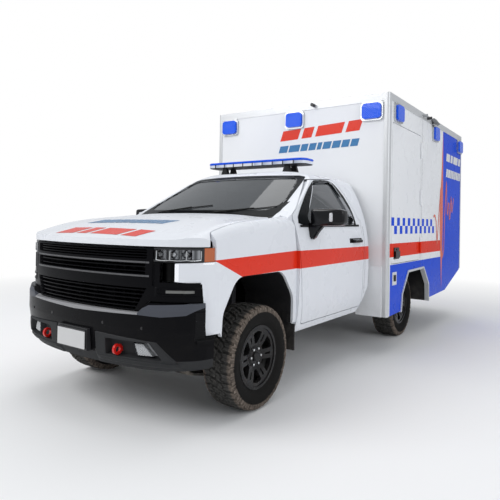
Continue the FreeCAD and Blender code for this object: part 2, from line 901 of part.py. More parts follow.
def tow_hook():
    """An upright closed loop with one round hole, on a shank back to the frame."""
    xs = (hook_x - hook_thickness / 2, hook_x + hook_thickness / 2)
    eye = [vec(x, hook_y, hook_z) for x in xs]
    loop = rod(eye[0], eye[1], hook_hole_radius + hook_bar)
    shank = block(xs, (hook_y, rail_front_y), (hook_z - hook_bar, hook_z + hook_bar))
    return loop.fuse(shank).cut(rod(eye[0], eye[1], hook_hole_radius))


def number_plate(bumper):
    back = -front_overhang - plate_proud + plate_thickness
    board = block((-plate_width / 2, plate_width / 2), (back - plate_thickness, back),
                  (plate_low_z, plate_low_z + plate_height))
    margin = plate_thickness
    holder = block((-plate_width / 2 - margin, plate_width / 2 + margin), (back, -front_overhang + overrun / 2),
                   (plate_low_z - margin, plate_low_z + plate_height + margin))
    return board.fuse(holder.cut(bumper)).removeSplitter()


# Running gear


def rail_line(y):
    """Height of the rails' top at a place along the frame."""
    share = min(max((y - kick_start_y) / (kick_end_y - kick_start_y), 0), 1)
    return rail_top_z + rail_kick * share


def frame():
    """Two channel rails, kicked up over the rear axle, with their crossmembers."""
    stations = (rail_front_y, kick_start_y, kick_end_y, rail_back_y)
    top = [(y, rail_line(y)) for y in stations]
    low = [(y, rail_line(y) - rail_height) for y in stations[::-1]]
    inner_top = [(y, z - rail_wall) for y, z in top]
    inner_low = [(y, z + rail_wall) for y, z in low]
    xs = (rail_x - rail_width / 2, rail_x + rail_width / 2)
    rail = prism_x(top + low, xs)
    rail = rail.cut(prism_x(inner_top + inner_low, (xs[0] - overrun, xs[1] - rail_wall)))
    tower = block((xs[0], tower_reach), (-tower_half_depth, tower_half_depth), (rail_top_z, rail_top_z + tower_height))
    rail = rail.fuse(tower)
    for y in cab_mount_y:
        pad = block((xs[0], xs[1]), (y, y + crossmember_depth), (rail_top_z - rail_wall, floor_under_z - seat_gap))
        rail = rail.fuse(pad)
    members = []
    for y in crossmember_y:
        top_z = rail_line(y)
        members.append(block((-xs[1] + rail_wall, xs[1] - rail_wall), (y, y + crossmember_depth),
                             (top_z - crossmember_depth - rail_wall, top_z - rail_wall)))
    return fused([rail, mirrored(rail)] + members)


def engine():
    """Engine and gearbox as one plain block on two ears that reach the rails."""
    ys = (engine_front_y, engine_front_y + engine_length)
    motor = block((-engine_width / 2, engine_width / 2), ys, (engine_low_z, engine_top_z))
    ear_x = rail_x + rail_width / 2 - rail_wall
    ears = block((-ear_x + seat_gap, ear_x - seat_gap), (-tower_half_depth, tower_half_depth),
                 (engine_low_z, engine_low_z + overrun))
    gearbox = rod(vec(0, ys[1], gearbox_z), vec(0, ys[1] + gearbox_length, gearbox_z), gearbox_radius)
    bell = block((-gearbox_radius, gearbox_radius), (ys[1] - overrun, ys[1] + overrun),
                 (gearbox_z, engine_low_z + overrun))
    return fused([motor, ears, gearbox, bell])


def radiator():
    core = block((-radiator_half_width, radiator_half_width), (radiator_y, radiator_y + radiator_depth),
                 (radiator_low_z, radiator_top_z))
    leg_x = (rail_x - rail_width / 2, rail_x + rail_width / 2)
    leg = block(leg_x, (radiator_y, radiator_y + radiator_depth), (rail_top_z + seat_gap, radiator_low_z + overrun))
    return fused([core, leg, mirrored(leg)])


def arm(root_x, z):
    """A wishbone in plan, from its root on the frame to the ball joint."""
    waist = (knuckle_x - root_x) * 0.8 + root_x
    tip = knuckle_x + arm_tip_half_depth
    outline = [
        (root_x, -arm_root_half_depth), (waist, -arm_tip_half_depth), (tip, -arm_tip_half_depth),
        (tip, arm_tip_half_depth), (waist, arm_tip_half_depth), (root_x, arm_root_half_depth),
    ]
    plate = prism_z(outline, (z, z + arm_thickness))
    window = [
        (root_x + overrun, -arm_root_half_depth * 0.62), (strut_x + 2 * strut_radius, -strut_radius / 3),
        (strut_x + 2 * strut_radius, strut_radius / 3), (root_x + overrun, arm_root_half_depth * 0.62),
    ]
    return plate, prism_z(window, (z - overrun, z + overrun))


def front_suspension():
    rail_outer = rail_x + rail_width / 2
    low_z = tyre_radius - ball_offset - seat_gap - arm_thickness
    lower, hole = arm(rail_outer, low_z)
    strut = rod(vec(strut_x, 0, low_z), vec(strut_x, 0, rail_top_z - seat_gap), strut_radius)
    cradle = block((-rail_outer, rail_outer), (-arm_root_half_depth, arm_root_half_depth),
                   (low_z, low_z + 2 * arm_thickness))
    leg = block((rail_x - rail_width / 2, rail_outer), (-tower_half_depth, tower_half_depth),
                (low_z, rail_top_z - rail_height - seat_gap))
    rack = rod(vec(-rail_x, arm_root_half_depth * 0.8, low_z + 3 * arm_thickness),
               vec(rail_x, arm_root_half_depth * 0.8, low_z + 3 * arm_thickness), 1.5 * arm_thickness)
    low = fused([cradle, rack, leg, mirrored(leg), lower, mirrored(lower), strut, mirrored(strut)])
    high_z = tyre_radius + ball_offset + seat_gap
    upper, hole = arm(rail_outer + seat_gap, high_z)
    upper = upper.cut(hole)
    room = rod(vec(strut_x, 0, high_z - overrun), vec(strut_x, 0, high_z + overrun), strut_radius + panel_gap)
    upper = upper.cut(room)
    return Part.makeCompound([low, upper, mirrored(upper)])


def knuckle_left():
    """The upright between the ball joints, its spindle and the brake caliper."""
    low = tyre_radius - ball_offset
    high = tyre_radius + ball_offset
    xs = (knuckle_x - upright_half_depth, knuckle_x + upright_half_depth)
    upright = rod(vec(knuckle_x, 0, low), vec(knuckle_x, 0, high), upright_half_depth)
    boss = rod(vec(xs[0], 0, tyre_radius), vec(xs[1], 0, tyre_radius), hub_radius)
    spindle = rod(vec(knuckle_x, 0, tyre_radius), vec(wheel_x + hub_radius / 2, 0, tyre_radius), spindle_radius)
    disc_x = wheel_x - disc_offset
    outer = disc_radius + 4 * caliper_gap
    ring = rod(vec(xs[0], 0, tyre_radius), vec(disc_x + disc_thickness + 2 * caliper_gap, 0, tyre_radius), outer)
    ring = ring.cut(rod(vec(xs[0], 0, tyre_radius), vec(wheel_x, 0, tyre_radius), hub_radius + 4 * caliper_gap))
    room = rod(vec(disc_x - caliper_gap, 0, tyre_radius),
               vec(disc_x + disc_thickness + caliper_gap, 0, tyre_radius), disc_radius + caliper_gap)
    sector = block((0, wheel_x), (hub_radius * 0.6, outer), (tyre_radius - hub_radius, tyre_radius + hub_radius))
    caliper = ring.cut(room).common(sector)
    lug = block(xs, (0, hub_radius + 5 * caliper_gap), (tyre_radius - upright_half_depth, tyre_radius + upright_half_depth))
    return fused([upright, boss, spindle, lug, caliper])


def rear_axle():
    """Axle tube and differential, leaf springs on hangers, and the drive shaft."""
    centre = vec(0, wheelbase, tyre_radius)
    inner = wheel_x - disc_offset - 2 * caliper_gap
    tube = rod(vec(-inner, wheelbase, tyre_radius), vec(inner, wheelbase, tyre_radius), axle_tube_radius)
    stub = wheel_x + hub_radius / 2
    spindle = rod(vec(-stub, wheelbase, tyre_radius), vec(stub, wheelbase, tyre_radius), spindle_radius)
    ball = Part.makeSphere(differential_radius, centre)
    ball = ball.common(block((-differential_radius, differential_radius),
                             (0, wheelbase + 2 * differential_radius), (0, roof_z)))
    gearbox_back = engine_front_y + engine_length + gearbox_length + shaft_radius / 15
    shaft = rod(vec(0, gearbox_back, gearbox_z), centre, shaft_radius)
    whole = [tube, spindle, ball, shaft]
    for side in (1, -1):
        whole.append(leaf_spring(side * spring_x))
    return fused(whole)


def leaf_spring(x):
    low = tyre_radius + axle_tube_radius - spring_leaf
    rise = rail_line(wheelbase) - rail_height / 2 - low
    start = wheelbase - spring_half_length
    end = wheelbase + spring_half_length
    xs = (x - spring_width / 2, x + spring_width / 2)
    lower = Part.Arc(vec(xs[0], start, low + rise), vec(xs[0], wheelbase, low), vec(xs[0], end, low + rise))
    upper = Part.Arc(vec(xs[0], end, low + rise + spring_leaf), vec(xs[0], wheelbase, low + 4 * spring_leaf),
                     vec(xs[0], start, low + rise + spring_leaf))
    sides = [Part.LineSegment(lower.EndPoint, upper.StartPoint), Part.LineSegment(upper.EndPoint, lower.StartPoint)]
    edges = [lower.toShape(), sides[0].toShape(), upper.toShape(), sides[1].toShape()]
    spring = Part.Face(Part.Wire(edges)).extrude(AXIS_X * spring_width)
    side = 1 if x > 0 else -1
    reach = sorted((side * (rail_x + rail_width / 2 + seat_gap), side * (abs(x) + spring_width / 2)))
    hangers = []
    for y in (start, end):
        hangers.append(block(reach, (y - spring_leaf, y + 3 * spring_leaf), (low + rise - spring_leaf, low + rise + spring_width)))
    return fused([spring] + hangers)


def wheel_profile(points):
    """A profile of (radius, x) pairs turned about the axle of the front left wheel."""
    face = closed([vec(x, 0, radius) for radius, x in points])
    turned = face.revolve(ORIGIN, AXIS_X, 360)
    turned.translate(vec(wheel_x, 0, tyre_radius))
    return turned


def tyre():
    """The tyre's round carcass, with a shallow crown and square shoulders."""
    half = tyre_width / 2
    bead = rim_width / 2 - 0.12 * rim_width / 2
    inner = rim_radius + seat_gap
    wall = between(inner, tyre_radius, 0.38)
    shoulder = between(inner, tyre_radius, 0.86)
    liner = 0.11 * tyre_width / 2
    face_points = [
        (inner, bead), (between(inner, wall, 0.25), bead), (wall, half), (shoulder, half * 0.97),
        (tyre_radius - 0.12 * (tyre_radius - shoulder) * 2, half * 0.83), (tyre_radius, half * 0.45),
        (tyre_radius, -half * 0.45), (tyre_radius - 0.12 * (tyre_radius - shoulder) * 2, -half * 0.83),
        (shoulder, -half * 0.97), (wall, -half), (between(inner, wall, 0.25), -bead), (inner, -bead),
    ]
    inside = [
        (inner, -bead + liner), (wall, -half + 2 * liner), (shoulder, -half * 0.8), (shoulder, half * 0.8),
        (wall, half - 2 * liner), (inner, bead - liner),
    ]
    return wheel_profile(face_points + inside)


def rim():
    """The barrel with its flanges, six split spokes, hub and brake disc."""
    half = rim_width / 2
    seat = rim_radius
    wall = 0.045 * rim_radius
    flange = 0.055 * rim_radius
    barrel = wheel_profile([
        (seat, -half + flange), (seat, -half * 0.45), (seat - 2 * wall, -half * 0.3), (seat - 2 * wall, half * 0.2),
        (seat, half * 0.4), (seat, half - flange), (seat + flange, half - flange), (seat + flange, half),
        (seat - wall, half), (seat - wall, half * 0.45), (seat - 3 * wall, half * 0.22),
        (seat - 3 * wall, -half * 0.34), (seat - wall, -half * 0.5), (seat - wall, -half),
        (seat + flange, -half), (seat + flange, -half + flange),
    ])
    face = wheel_profile([
        (0, half * 0.3), (hub_radius, half * 0.3), (seat * 0.6, half * 0.48), (seat - 2 * wall, half * 0.62),
        (seat - wall / 2, half * 0.62), (seat - wall / 2, half * 0.93), (seat * 0.62, half * 0.82),
        (hub_radius, half * 0.66), (hub_radius * 0.8, half * 0.72), (0, half * 0.72),
    ])
    spoke_count = 6
    centre = vec(wheel_x, 0, tyre_radius)
    inner = hub_radius * 1.25
    outer = seat - 3 * wall
    wide_half = math.pi / spoke_count * outer * 0.56
    narrow_half = math.pi / spoke_count * inner * 0.3
    window = prism_x([
        (-narrow_half, tyre_radius + inner), (narrow_half, tyre_radius + inner),
        (wide_half, tyre_radius + outer * 0.93), (0, tyre_radius + outer), (-wide_half, tyre_radius + outer * 0.93),
    ], (wheel_x, wheel_x + rim_width), wall)
    slit = prism_x([
        (-wall * 0.5, tyre_radius + inner * 1.2), (wall * 0.5, tyre_radius + inner * 1.2),
        (wall * 0.9, tyre_radius + outer * 0.9), (-wall * 0.9, tyre_radius + outer * 0.9),
    ], (wheel_x, wheel_x + rim_width))
    for i in range(spoke_count):
        cut = window.copy()
        cut.rotate(centre, AXIS_X, 360 * i / spoke_count)
        face = face.cut(cut)
        cut = slit.copy()
        cut.rotate(centre, AXIS_X, 360 * (i + 0.5) / spoke_count)
        face = face.cut(cut)
    hub = rod(vec(wheel_x - disc_offset, 0, tyre_radius), vec(wheel_x + half * 0.5, 0, tyre_radius), hub_radius * 0.9)
    disc = rod(vec(wheel_x - disc_offset, 0, tyre_radius),
               vec(wheel_x - disc_offset + disc_thickness, 0, tyre_radius), disc_radius)
    bore = rod(vec(wheel_x - 2 * disc_offset, 0, tyre_radius),
               vec(wheel_x + hub_radius / 2 + spring_leaf / 4, 0, tyre_radius), spindle_radius + bearing_gap)
    return fused([barrel, face, hub, disc]).cut(bore)


def exhaust():
    """Pipe and muffler under the left of the frame, over the axle and out behind the wheel."""
    x = rail_x - rail_width / 2 - 2 * exhaust_radius
    low = rail_top_z - rail_height - exhaust_radius / 2
    high = low + 2 * exhaust_radius
    start = engine_front_y + engine_length
    muffler = crossmember_y[1] + overrun
    bend = (muffler + muffler_length, kick_end_y + overrun)
    out_y = wheelbase + spring_half_length + muffler_radius * 2
    points = [
        vec(x, start, low), vec(x, bend[0], low), vec(x, bend[1], high), vec(x, out_y, high),
        vec(box_half_width - wall_thickness - 2 * overrun, out_y, high - exhaust_radius),
    ]
    pieces = [rod(vec(x - overrun, muffler, low), vec(x - overrun, muffler + muffler_length, low), muffler_radius)]
    for a, b in zip(points, points[1:]):
        pieces.append(rod(a, b, exhaust_radius))
        pieces.append(Part.makeSphere(exhaust_radius, a))
    for y, z in ((muffler + muffler_length + overrun, low), (wheelbase + spring_half_length / 2, high)):
        bottom = rail_line(y) - rail_height - seat_gap
        pieces.append(block((x, rail_x), (y, y + spring_leaf), (z, z + spring_leaf)))
        pieces.append(block((rail_x - spring_leaf, rail_x), (y, y + spring_leaf), (z, bottom)))
    return fused(pieces)


def fuel_tank():
    x = -(rail_x + rail_width / 2 + seat_gap)
    outline = [(x - tank_width, rail_top_z - tank_height), (x, rail_top_z - tank_height),
               (x, rail_top_z - rail_wall), (x - tank_width, rail_top_z - rail_wall)]
    return prism_y(outline, (2 * overrun + wheelhouse_back_y, 2 * overrun + wheelhouse_back_y + tank_length), overrun)


def mudguards():
    """Arch liners and flaps of the front wheels, flaps of the rear wheels."""
    liner_wall = fender_skin / 4
    inner_x = rail_x + 2 * overrun
    outline = arch_outline()
    face = rounded([vec(0, y, z) for y, z in outline], arch_radius / 3)
    slim = face.makeOffset2D(-liner_wall)
    xs = (inner_x, half_width - 2 * fender_skin)
    face.translate(AXIS_X * xs[0])
    slim.translate(AXIS_X * (xs[0] - overrun))
    liner = face.extrude(AXIS_X * (xs[1] - xs[0])).cut(slim.extrude(AXIS_X * (xs[1] - xs[0] + 2 * overrun)))
    liner = liner.cut(block((0, 2 * half_width), (-2 * arch_radius, 0), (0, fender_bottom_z)))
    liner = liner.cut(block((0, 2 * half_width), (0, 2 * arch_radius), (0, fender_back_bottom_z)))
    flap_ys = (arch_radius - 2 * liner_wall, arch_radius)
    low = tyre_radius - overrun
    flap = block((half_width - 5 * fender_skin, half_width - fender_skin / 2), flap_ys, (low, fender_back_bottom_z - liner_wall))
    tab = block((half_width - 5 * fender_skin, half_width - 3 * fender_skin), flap_ys, (low, fender_back_bottom_z + 2 * overrun))
    front = liner.fuse(flap).fuse(tab)
    y = box_arch_y[-1] + arch_trim / 2
    inner = box_half_width - wall_recess - wall_thickness - seat_gap
    rear = block((inner - 7 * overrun, inner), (y, y + liner_wall), (skirt_front_z, deck_top_z - deck_thickness - seat_gap))
    pieces = []
    for flap_piece in (front, rear):
        pieces += [flap_piece, mirrored(flap_piece)]
    return Part.makeCompound(pieces)


# Patient box


def skirt_outline(low_y, high_y, top_z):
    """Side view of the box wall from its skirt up to a height."""
    chamfer_z = skirt_back_z
    points = [(low_y, top_z), (low_y, skirt_front_z), (chamfer_low_y, chamfer_z)]
    share = (high_y - chamfer_low_y) / (box_back - chamfer_low_y)
    points.append((high_y, between(chamfer_z, chamfer_high_z, share)))
    points.append((high_y, top_z))
    return points


def arch_points(margin):
    low = skirt_front_z - overrun
    ys, zs = box_arch_y, box_arch_z
    return [
        (ys[0] - margin, low), (ys[1] - margin, zs[1]), (ys[2] - margin * 0.4, zs[2] + margin),
        (ys[3] + margin * 0.4, zs[3] + margin), (ys[4] + margin, zs[4] + margin * 0.5), (ys[5] + margin, low),
    ]


def box_side():
    """A whole side wall, skirt and wheel arch included, without its door."""
    outer = box_half_width - wall_recess
    xs = (outer - wall_thickness, outer)
    outline = skirt_outline(box_front + post_width, box_back - post_width, box_top_z - roof_rail_height)
    wall = prism_x(outline, xs)
    return wall.cut(prism_x(arch_points(arch_trim), xs))


def door_hole(ys, zs, gap):
    outer = box_half_width - wall_recess
    outline = [(ys[0] + gap, zs[0] + gap), (ys[1] - gap, zs[0] + gap), (ys[1] - gap, zs[1] - gap), (ys[0] + gap, zs[1] - gap)]
    return prism_x(outline, (outer - wall_thickness, outer), overrun)


def box_left():
    zs = (locker_low_z, locker_top_z)
    wall = box_side().cut(door_hole((locker_front_y, locker_back_y), zs, 0))
    barrels = wall_barrels(box_half_width - wall_recess + box_hinge_radius,
                           locker_back_y - panel_gap - box_hinge_radius, zs, -AXIS_X, AXIS_Y)
    return fused([wall] + barrels)


def box_right():
    zs = (side_door_low_z, side_door_top_z)
    wall = box_side().cut(door_hole((locker_front_y, side_door_back_y), zs, 0))
    barrels = wall_barrels(box_half_width - wall_recess + box_hinge_radius,
                           locker_front_y + panel_gap + box_hinge_radius, zs, -AXIS_X, -AXIS_Y)
    return mirrored(fused([wall] + barrels))


def hinge_heights(zs):
    return [between(zs[0], zs[1], share) for share in (0.12, 0.5, 0.88)]


def door_barrels(x, y, zs):
    """The middle barrels of the hinges, carried by a box door."""
    half = box_hinge_length / 2
    return [rod(vec(x, y, z - half), vec(x, y, z + half), box_hinge_radius) for z in hinge_heights(zs)]


def wall_barrels(x, y, zs, inward, along):
    """The outer barrels with their straps, carried by the wall beside the door."""
    pieces = []
    half = box_hinge_length / 2
    for z in hinge_heights(zs):
        for low in (z + half + seat_gap, z - half - seat_gap - box_hinge_length / 3):
            high = low + box_hinge_length / 3
            barrel = rod(vec(x, y, low), vec(x, y, high), box_hinge_radius)
            base = vec(x, y, low) + inward * box_hinge_radius
            corner = base - inward * (box_hinge_radius / 2) + along * strap_reach
            strap = block(sorted((base.x, corner.x)), sorted((base.y, corner.y)), (low, high))
            pieces.append(barrel.fuse(strap))
    return pieces


def locker_door():
    zs = (locker_low_z, locker_top_z)
    leaf = door_hole((locker_front_y, locker_back_y), zs, panel_gap)
    pins = door_barrels(box_half_width - wall_recess + box_hinge_radius, locker_back_y - panel_gap - box_hinge_radius, zs)
    return fused([leaf] + pins)


def window_cut(ys, gap):
    outer = box_half_width - wall_recess
    outline = [(ys[0] + gap, door_window_low_z + gap), (ys[1] - gap, door_window_low_z + gap),
               (ys[1] - gap, door_window_top_z - gap), (ys[0] + gap, door_window_top_z - gap)]
    return prism_x(outline, (outer - wall_thickness, outer), window_radius)


def side_window_span():
    middle = (locker_front_y + side_door_back_y) / 2
    return (middle - door_window_width / 2, middle + door_window_width / 2)


def side_door():
    zs = (side_door_low_z, side_door_top_z)
    leaf = door_hole((locker_front_y, side_door_back_y), zs, panel_gap).cut(window_cut(side_window_span(), 0))
    pins = door_barrels(box_half_width - wall_recess + box_hinge_radius, locker_front_y + panel_gap + box_hinge_radius, zs)
    return mirrored(fused([leaf] + pins))


def side_door_glass():
    pane = window_cut(side_window_span(), seat_gap)
    outer = box_half_width - wall_recess
    middle = outer - wall_thickness / 2
    return mirrored(pane.common(block((middle, middle + glass_thickness), (box_front, box_back), (0, box_top_z))))


def end_wall(y, low_z):
    half = box_half_width - post_width
    return block((-half, half), (y, y + wall_thickness), (low_z, box_top_z - roof_rail_height))


def box_front_wall():
    wall = end_wall(box_front + wall_recess, skirt_front_z)
    middle = block((-ledge_inner_x, ledge_inner_x), (box_front - overrun, box_front + 2 * overrun),
                   (0, deck_top_z - deck_thickness))
    wall = wall.cut(middle)
    ledge = block((ledge_inner_x, box_half_width - post_width), (box_front - ledge_depth, box_front + wall_recess),
                  (skirt_front_z, ledge_top_z))
    return fused([wall, ledge, mirrored(ledge)])


def rear_hole(xs, gap):
    y = box_back - wall_recess - wall_thickness
    outline = [(xs[0] + gap, rear_opening_low_z + gap), (xs[1] - gap, rear_opening_low_z + gap),
               (xs[1] - gap, rear_opening_top_z - gap), (xs[0] + gap, rear_opening_top_z - gap)]
    return prism_y(outline, (y, y + wall_thickness), overrun / 2)


def box_rear_wall():
    wall = end_wall(box_back - wall_recess - wall_thickness, rear_wall_low_z + rail_kick)
    wall = wall.cut(rear_hole((-rear_opening_half_width, rear_opening_half_width), 0))
    zs = (rear_opening_low_z, rear_opening_top_z)
    barrels = wall_barrels(rear_opening_half_width - panel_gap - box_hinge_radius,
                           box_back - wall_recess + box_hinge_radius, zs, -AXIS_Y, AXIS_X)
    return fused([wall] + barrels + [mirrored(barrel) for barrel in barrels])


def rear_window(gap):
    middle = rear_opening_half_width / 2
    y = box_back - wall_recess - wall_thickness
    half = door_window_width / 2 - gap
    outline = [(middle - half, door_window_low_z + gap), (middle + half, door_window_low_z + gap),
               (middle + half, door_window_top_z - gap), (middle - half, door_window_top_z - gap)]
    return prism_y(outline, (y, y + wall_thickness), window_radius)


def rear_door_left():
    leaf = rear_hole((0, rear_opening_half_width), panel_gap)
    leaf = leaf.cut(rear_window(0))
    pins = door_barrels(rear_opening_half_width - panel_gap - box_hinge_radius, box_back - wall_recess + box_hinge_radius,
                      (rear_opening_low_z, rear_opening_top_z))
    return fused([leaf] + pins)


def rear_door_glass():
    y = box_back - wall_recess - wall_thickness / 2
    slab = block((-box_half_width, box_half_width), (y, y + glass_thickness), (0, box_top_z))
    return rear_window(seat_gap).common(slab)


def box_roof():
    half = box_half_width - post_width
    top = box_top_z - wall_recess
    return block((-half, half), (box_front + post_width, box_back - post_width), (top - wall_thickness, top))


def box_floor():
    half = box_half_width - wall_recess - wall_thickness - seat_gap
    inner = (box_front + wall_recess + wall_thickness + seat_gap, box_back - wall_recess - wall_thickness - seat_gap)
    deck = block((-half, half), inner, (deck_top_z - deck_thickness, deck_top_z))
    xs = (rail_x - rail_width / 2, rail_x + rail_width / 2)
    top = rail_line(box_back) + seat_gap
    sill = block(xs, (kick_end_y + overrun, rail_back_y), (top, deck_top_z - deck_thickness))
    for x in (-half, half - post_width):
        for y in (inner[0], inner[1] - post_width):
            deck = deck.cut(block((x, x + post_width), (y, y + post_width), (0, box_top_z)))
    return fused([deck, sill, mirrored(sill)])


def box_frame():
    """Corner posts, roof rails and wheel arch trims of the box, as one welded frame."""
    half = box_half_width
    top = box_top_z - roof_rail_height
    ring = block((-half, half), (box_front, box_back), (top, box_top_z))
    upright_edges = [edge for edge in ring.Edges if abs(edge.BoundBox.ZLength - roof_rail_height) < seat_gap]
    ring = ring.makeFillet(post_radius, upright_edges)
    ring = ring.cut(block((-half + post_width, half - post_width), (box_front + post_width, box_back - post_width),
                          (top - overrun, box_top_z + overrun)))
    front_post = block((half - post_width, half), (box_front, box_front + post_width), (skirt_front_z, top))
    corner = [edge for edge in front_post.Edges
              if abs(edge.BoundBox.XMin - half) < seat_gap and abs(edge.BoundBox.YMax - box_front) < seat_gap]
    front_post = front_post.makeFillet(post_radius, corner)
    rear_post = block((half - post_width, half), (box_back - post_width, box_back), (chamfer_high_z, top))
    corner = [edge for edge in rear_post.Edges
              if abs(edge.BoundBox.XMin - half) < seat_gap and abs(edge.BoundBox.YMin - box_back) < seat_gap]
    rear_post = rear_post.makeFillet(post_radius, corner)
    xs = (half - wall_recess - wall_thickness, half + wall_recess)
    trim = prism_x(arch_points(arch_trim), xs).cut(prism_x(arch_points(0), xs))
    trim = trim.cut(block((0, 2 * half), (box_front, box_back), (0, skirt_front_z)))
    pieces = [ring, front_post, mirrored(front_post), rear_post, mirrored(rear_post)]
    return Part.makeCompound([fused(pieces), trim, mirrored(trim)])


# Lamps on the box


def lamp_at(place, turn_deg, inset, near, far):
    """A rounded lamp block facing -Y, turned about Z and moved to its place."""
    half_w = lamp_width / 2 - inset
    half_h = lamp_height / 2 - inset
    outline = [(-half_w, -half_h), (half_w, -half_h), (half_w, half_h), (-half_w, half_h)]
    body = prism_y(outline, (-far, -near), overrun)
    body.rotate(ORIGIN, AXIS_Z, turn_deg)
    body.translate(place)
    return body


def lamp_places():
    front = box_front + wall_recess
    places = [(vec(x, front, lamp_z), 0) for x in (-front_lamp_x, 0, front_lamp_x)]
    side = box_half_width - wall_recess
    for y in side_lamp_y:
        places.append((vec(side, y, lamp_z), 90))
        places.append((vec(-side, y, lamp_z), -90))
    back = box_back - wall_recess
    places += [(vec(x, back, lamp_z), 180) for x in (-front_lamp_x + overrun, front_lamp_x - overrun)]
    return places


def warning_lamps():
    return Part.makeCompound([lamp_at(place, turn, 0, 0, lamp_depth) for place, turn in lamp_places()])


def warning_lenses():
    near = lamp_depth
    far = lamp_depth + lens_depth
    return Part.makeCompound([lamp_at(place, turn, lens_inset, near, far) for place, turn in lamp_places()])


def tail_lamps():
    """Upright clusters on the back wall beside the doors."""
    pieces = []
    middle = (rear_opening_half_width + box_half_width - post_width) / 2
    back = box_back - wall_recess
    for side in (1, -1):
        for i in range(3):
            low = rear_opening_low_z + overrun + i * 1.1 * lamp_height * 0.7
            body = prism_y([(side * middle - lamp_width / 3, low), (side * middle + lamp_width / 3, low),
                            (side * middle + lamp_width / 3, low + lamp_height * 0.7),
                            (side * middle - lamp_width / 3, low + lamp_height * 0.7)], (back, back + lamp_depth), overrun / 2)
            pieces.append(body)
    return Part.makeCompound(pieces)


def rear_step():
    z = rail_line(box_back) - rail_height - overrun
    tread = prism_z([(-1000.0, box_back + overrun / 4), (1000.0, box_back + overrun / 4),
                     (1000.0, box_back + step_reach), (-1000.0, box_back + step_reach)], (z, z + overrun), overrun)
    xs = (rail_x - rail_width / 2, rail_x + rail_width / 2)
    arm_piece = block(xs, (rail_back_y + seat_gap, box_back + overrun), (z, z + overrun + rail_height / 2))
    return fused([tread, arm_piece, mirrored(arm_piece)])


def cabinets():
    """A locker bay open to the left door, and a bench along the right wall."""
    outer = box_half_width - wall_recess - wall_thickness - seat_gap
    inner = outer - cabinet_depth
    low = deck_top_z + seat_gap
    ys = (locker_front_y - cabinet_wall, locker_back_y + cabinet_wall)
    bay = block((inner, outer), ys, (low, locker_top_z + cabinet_wall))
    hollow = block((inner + cabinet_wall, outer + overrun), (locker_front_y, locker_back_y),
                   (locker_low_z, locker_top_z))
    bench = block((-outer, -outer + bench_width), (side_door_back_y + bench_front_gap, box_back - bench_back_gap),
                  (low, low + bench_height))
    return Part.makeCompound([bay.cut(hollow), bench])


# Inside the cab and on its roof


def dashboard():
    """The dashboard's moulding with the steering wheel on its column."""
    front = firewall + back_wall + seat_gap
    outline = [(front, dash_low_z), (front + dash_foot_depth, dash_low_z), (front + dash_depth, dash_knee_z),
               (front + dash_depth, dash_brow_z), (front + dash_top_depth, dash_top_z), (front, dash_top_z)]
    board = prism_x(outline, (-dash_half_width, dash_half_width), dash_edge_radius)
    ring = Part.makeTorus(steering_radius, steering_grip)
    spoke = block((-steering_radius, steering_radius), (-steering_spoke / 2, steering_spoke / 2),
                  (-steering_spoke_depth / 2, steering_spoke_depth / 2))
    column = rod(vec(0, 0, -column_length), ORIGIN, column_radius)
    wheel = fused([ring, spoke, column])
    wheel.rotate(ORIGIN, AXIS_X, -steering_tilt_deg)
    wheel.translate(vec(seat_x, front + steering_reach, steering_z))
    return board.fuse(wheel).removeSplitter()


def seat(x):
    """One bucket seat: its cushion, leaning backrest and head rest."""
    base = floor_z + seat_gap
    xs = (x - seat_half_width, x + seat_half_width)
    back_y = seat_front_y + seat_length
    cushion = prism_x([(seat_front_y, base), (back_y, base), (back_y, base + cushion_back_height),
                       (seat_front_y, base + cushion_front_height)], xs, seat_edge_radius)
    foot = back_y - backrest_bite
    top = foot + backrest_lean
    top_z = base + backrest_height
    back = prism_x([(foot, base + backrest_foot_height), (foot + backrest_thickness, base + backrest_foot_height),
                    (top + backrest_top_thickness, top_z), (top, top_z)], xs, seat_edge_radius)
    middle = top + (backrest_top_thickness - head_rest_thickness) / 2
    rest = prism_x([(middle, top_z - head_rest_thickness / 2),
                    (middle + head_rest_thickness, top_z - head_rest_thickness / 2),
                    (middle + head_rest_thickness + head_rest_lean, top_z + head_rest_height),
                    (middle + head_rest_lean, top_z + head_rest_height)],
                   (x - seat_half_width / 2, x + seat_half_width / 2), seat_edge_radius / 2)
    return fused([cushion, back, rest])


def seats():
    return both(seat(seat_x))


def light_bar(outer):
    low = bar_z - bar_height / 2
    half = bar_half_length
    shell = prism_z([(-half, bar_y - bar_depth / 2), (half, bar_y - bar_depth / 2),
                     (half, bar_y + bar_depth / 2), (-half, bar_y + bar_depth / 2)],
                    (low, low + bar_height), bar_depth / 3)
    foot = prism_x([(bar_y - bar_depth / 2, roof_z - overrun), (bar_y + bar_depth / 2, roof_z - overrun),
                    (bar_y + bar_depth / 4, low), (bar_y - bar_depth / 4, low)],
                   (bar_foot_x - overrun / 2, bar_foot_x + overrun / 2)).cut(outer)
    foot = sorted(foot.Solids, key=lambda solid: solid.Volume)[-1]
    return fused([shell, foot, mirrored(foot)])


def roof_cameras():
    """A flood lamp and camera on each roof rail, and one camera in front."""
    pieces = []
    z = box_top_z - roof_rail_height / 2
    for side in (1, -1):
        for y in (3420.0, 3620.0):
            pieces.append(rod(vec(side * box_half_width, y, z), vec(side * (box_half_width + 1.5 * overrun), y, z), overrun / 2))
    pieces.append(rod(vec(266.0, box_front, z), vec(266.0, box_front - 1.5 * overrun, z), overrun / 2))
    return Part.makeCompound(pieces)


def moved(shape, x=0.0, y=0.0):
    piece = shape.copy()
    piece.translate(vec(x, y, 0))
    return piece


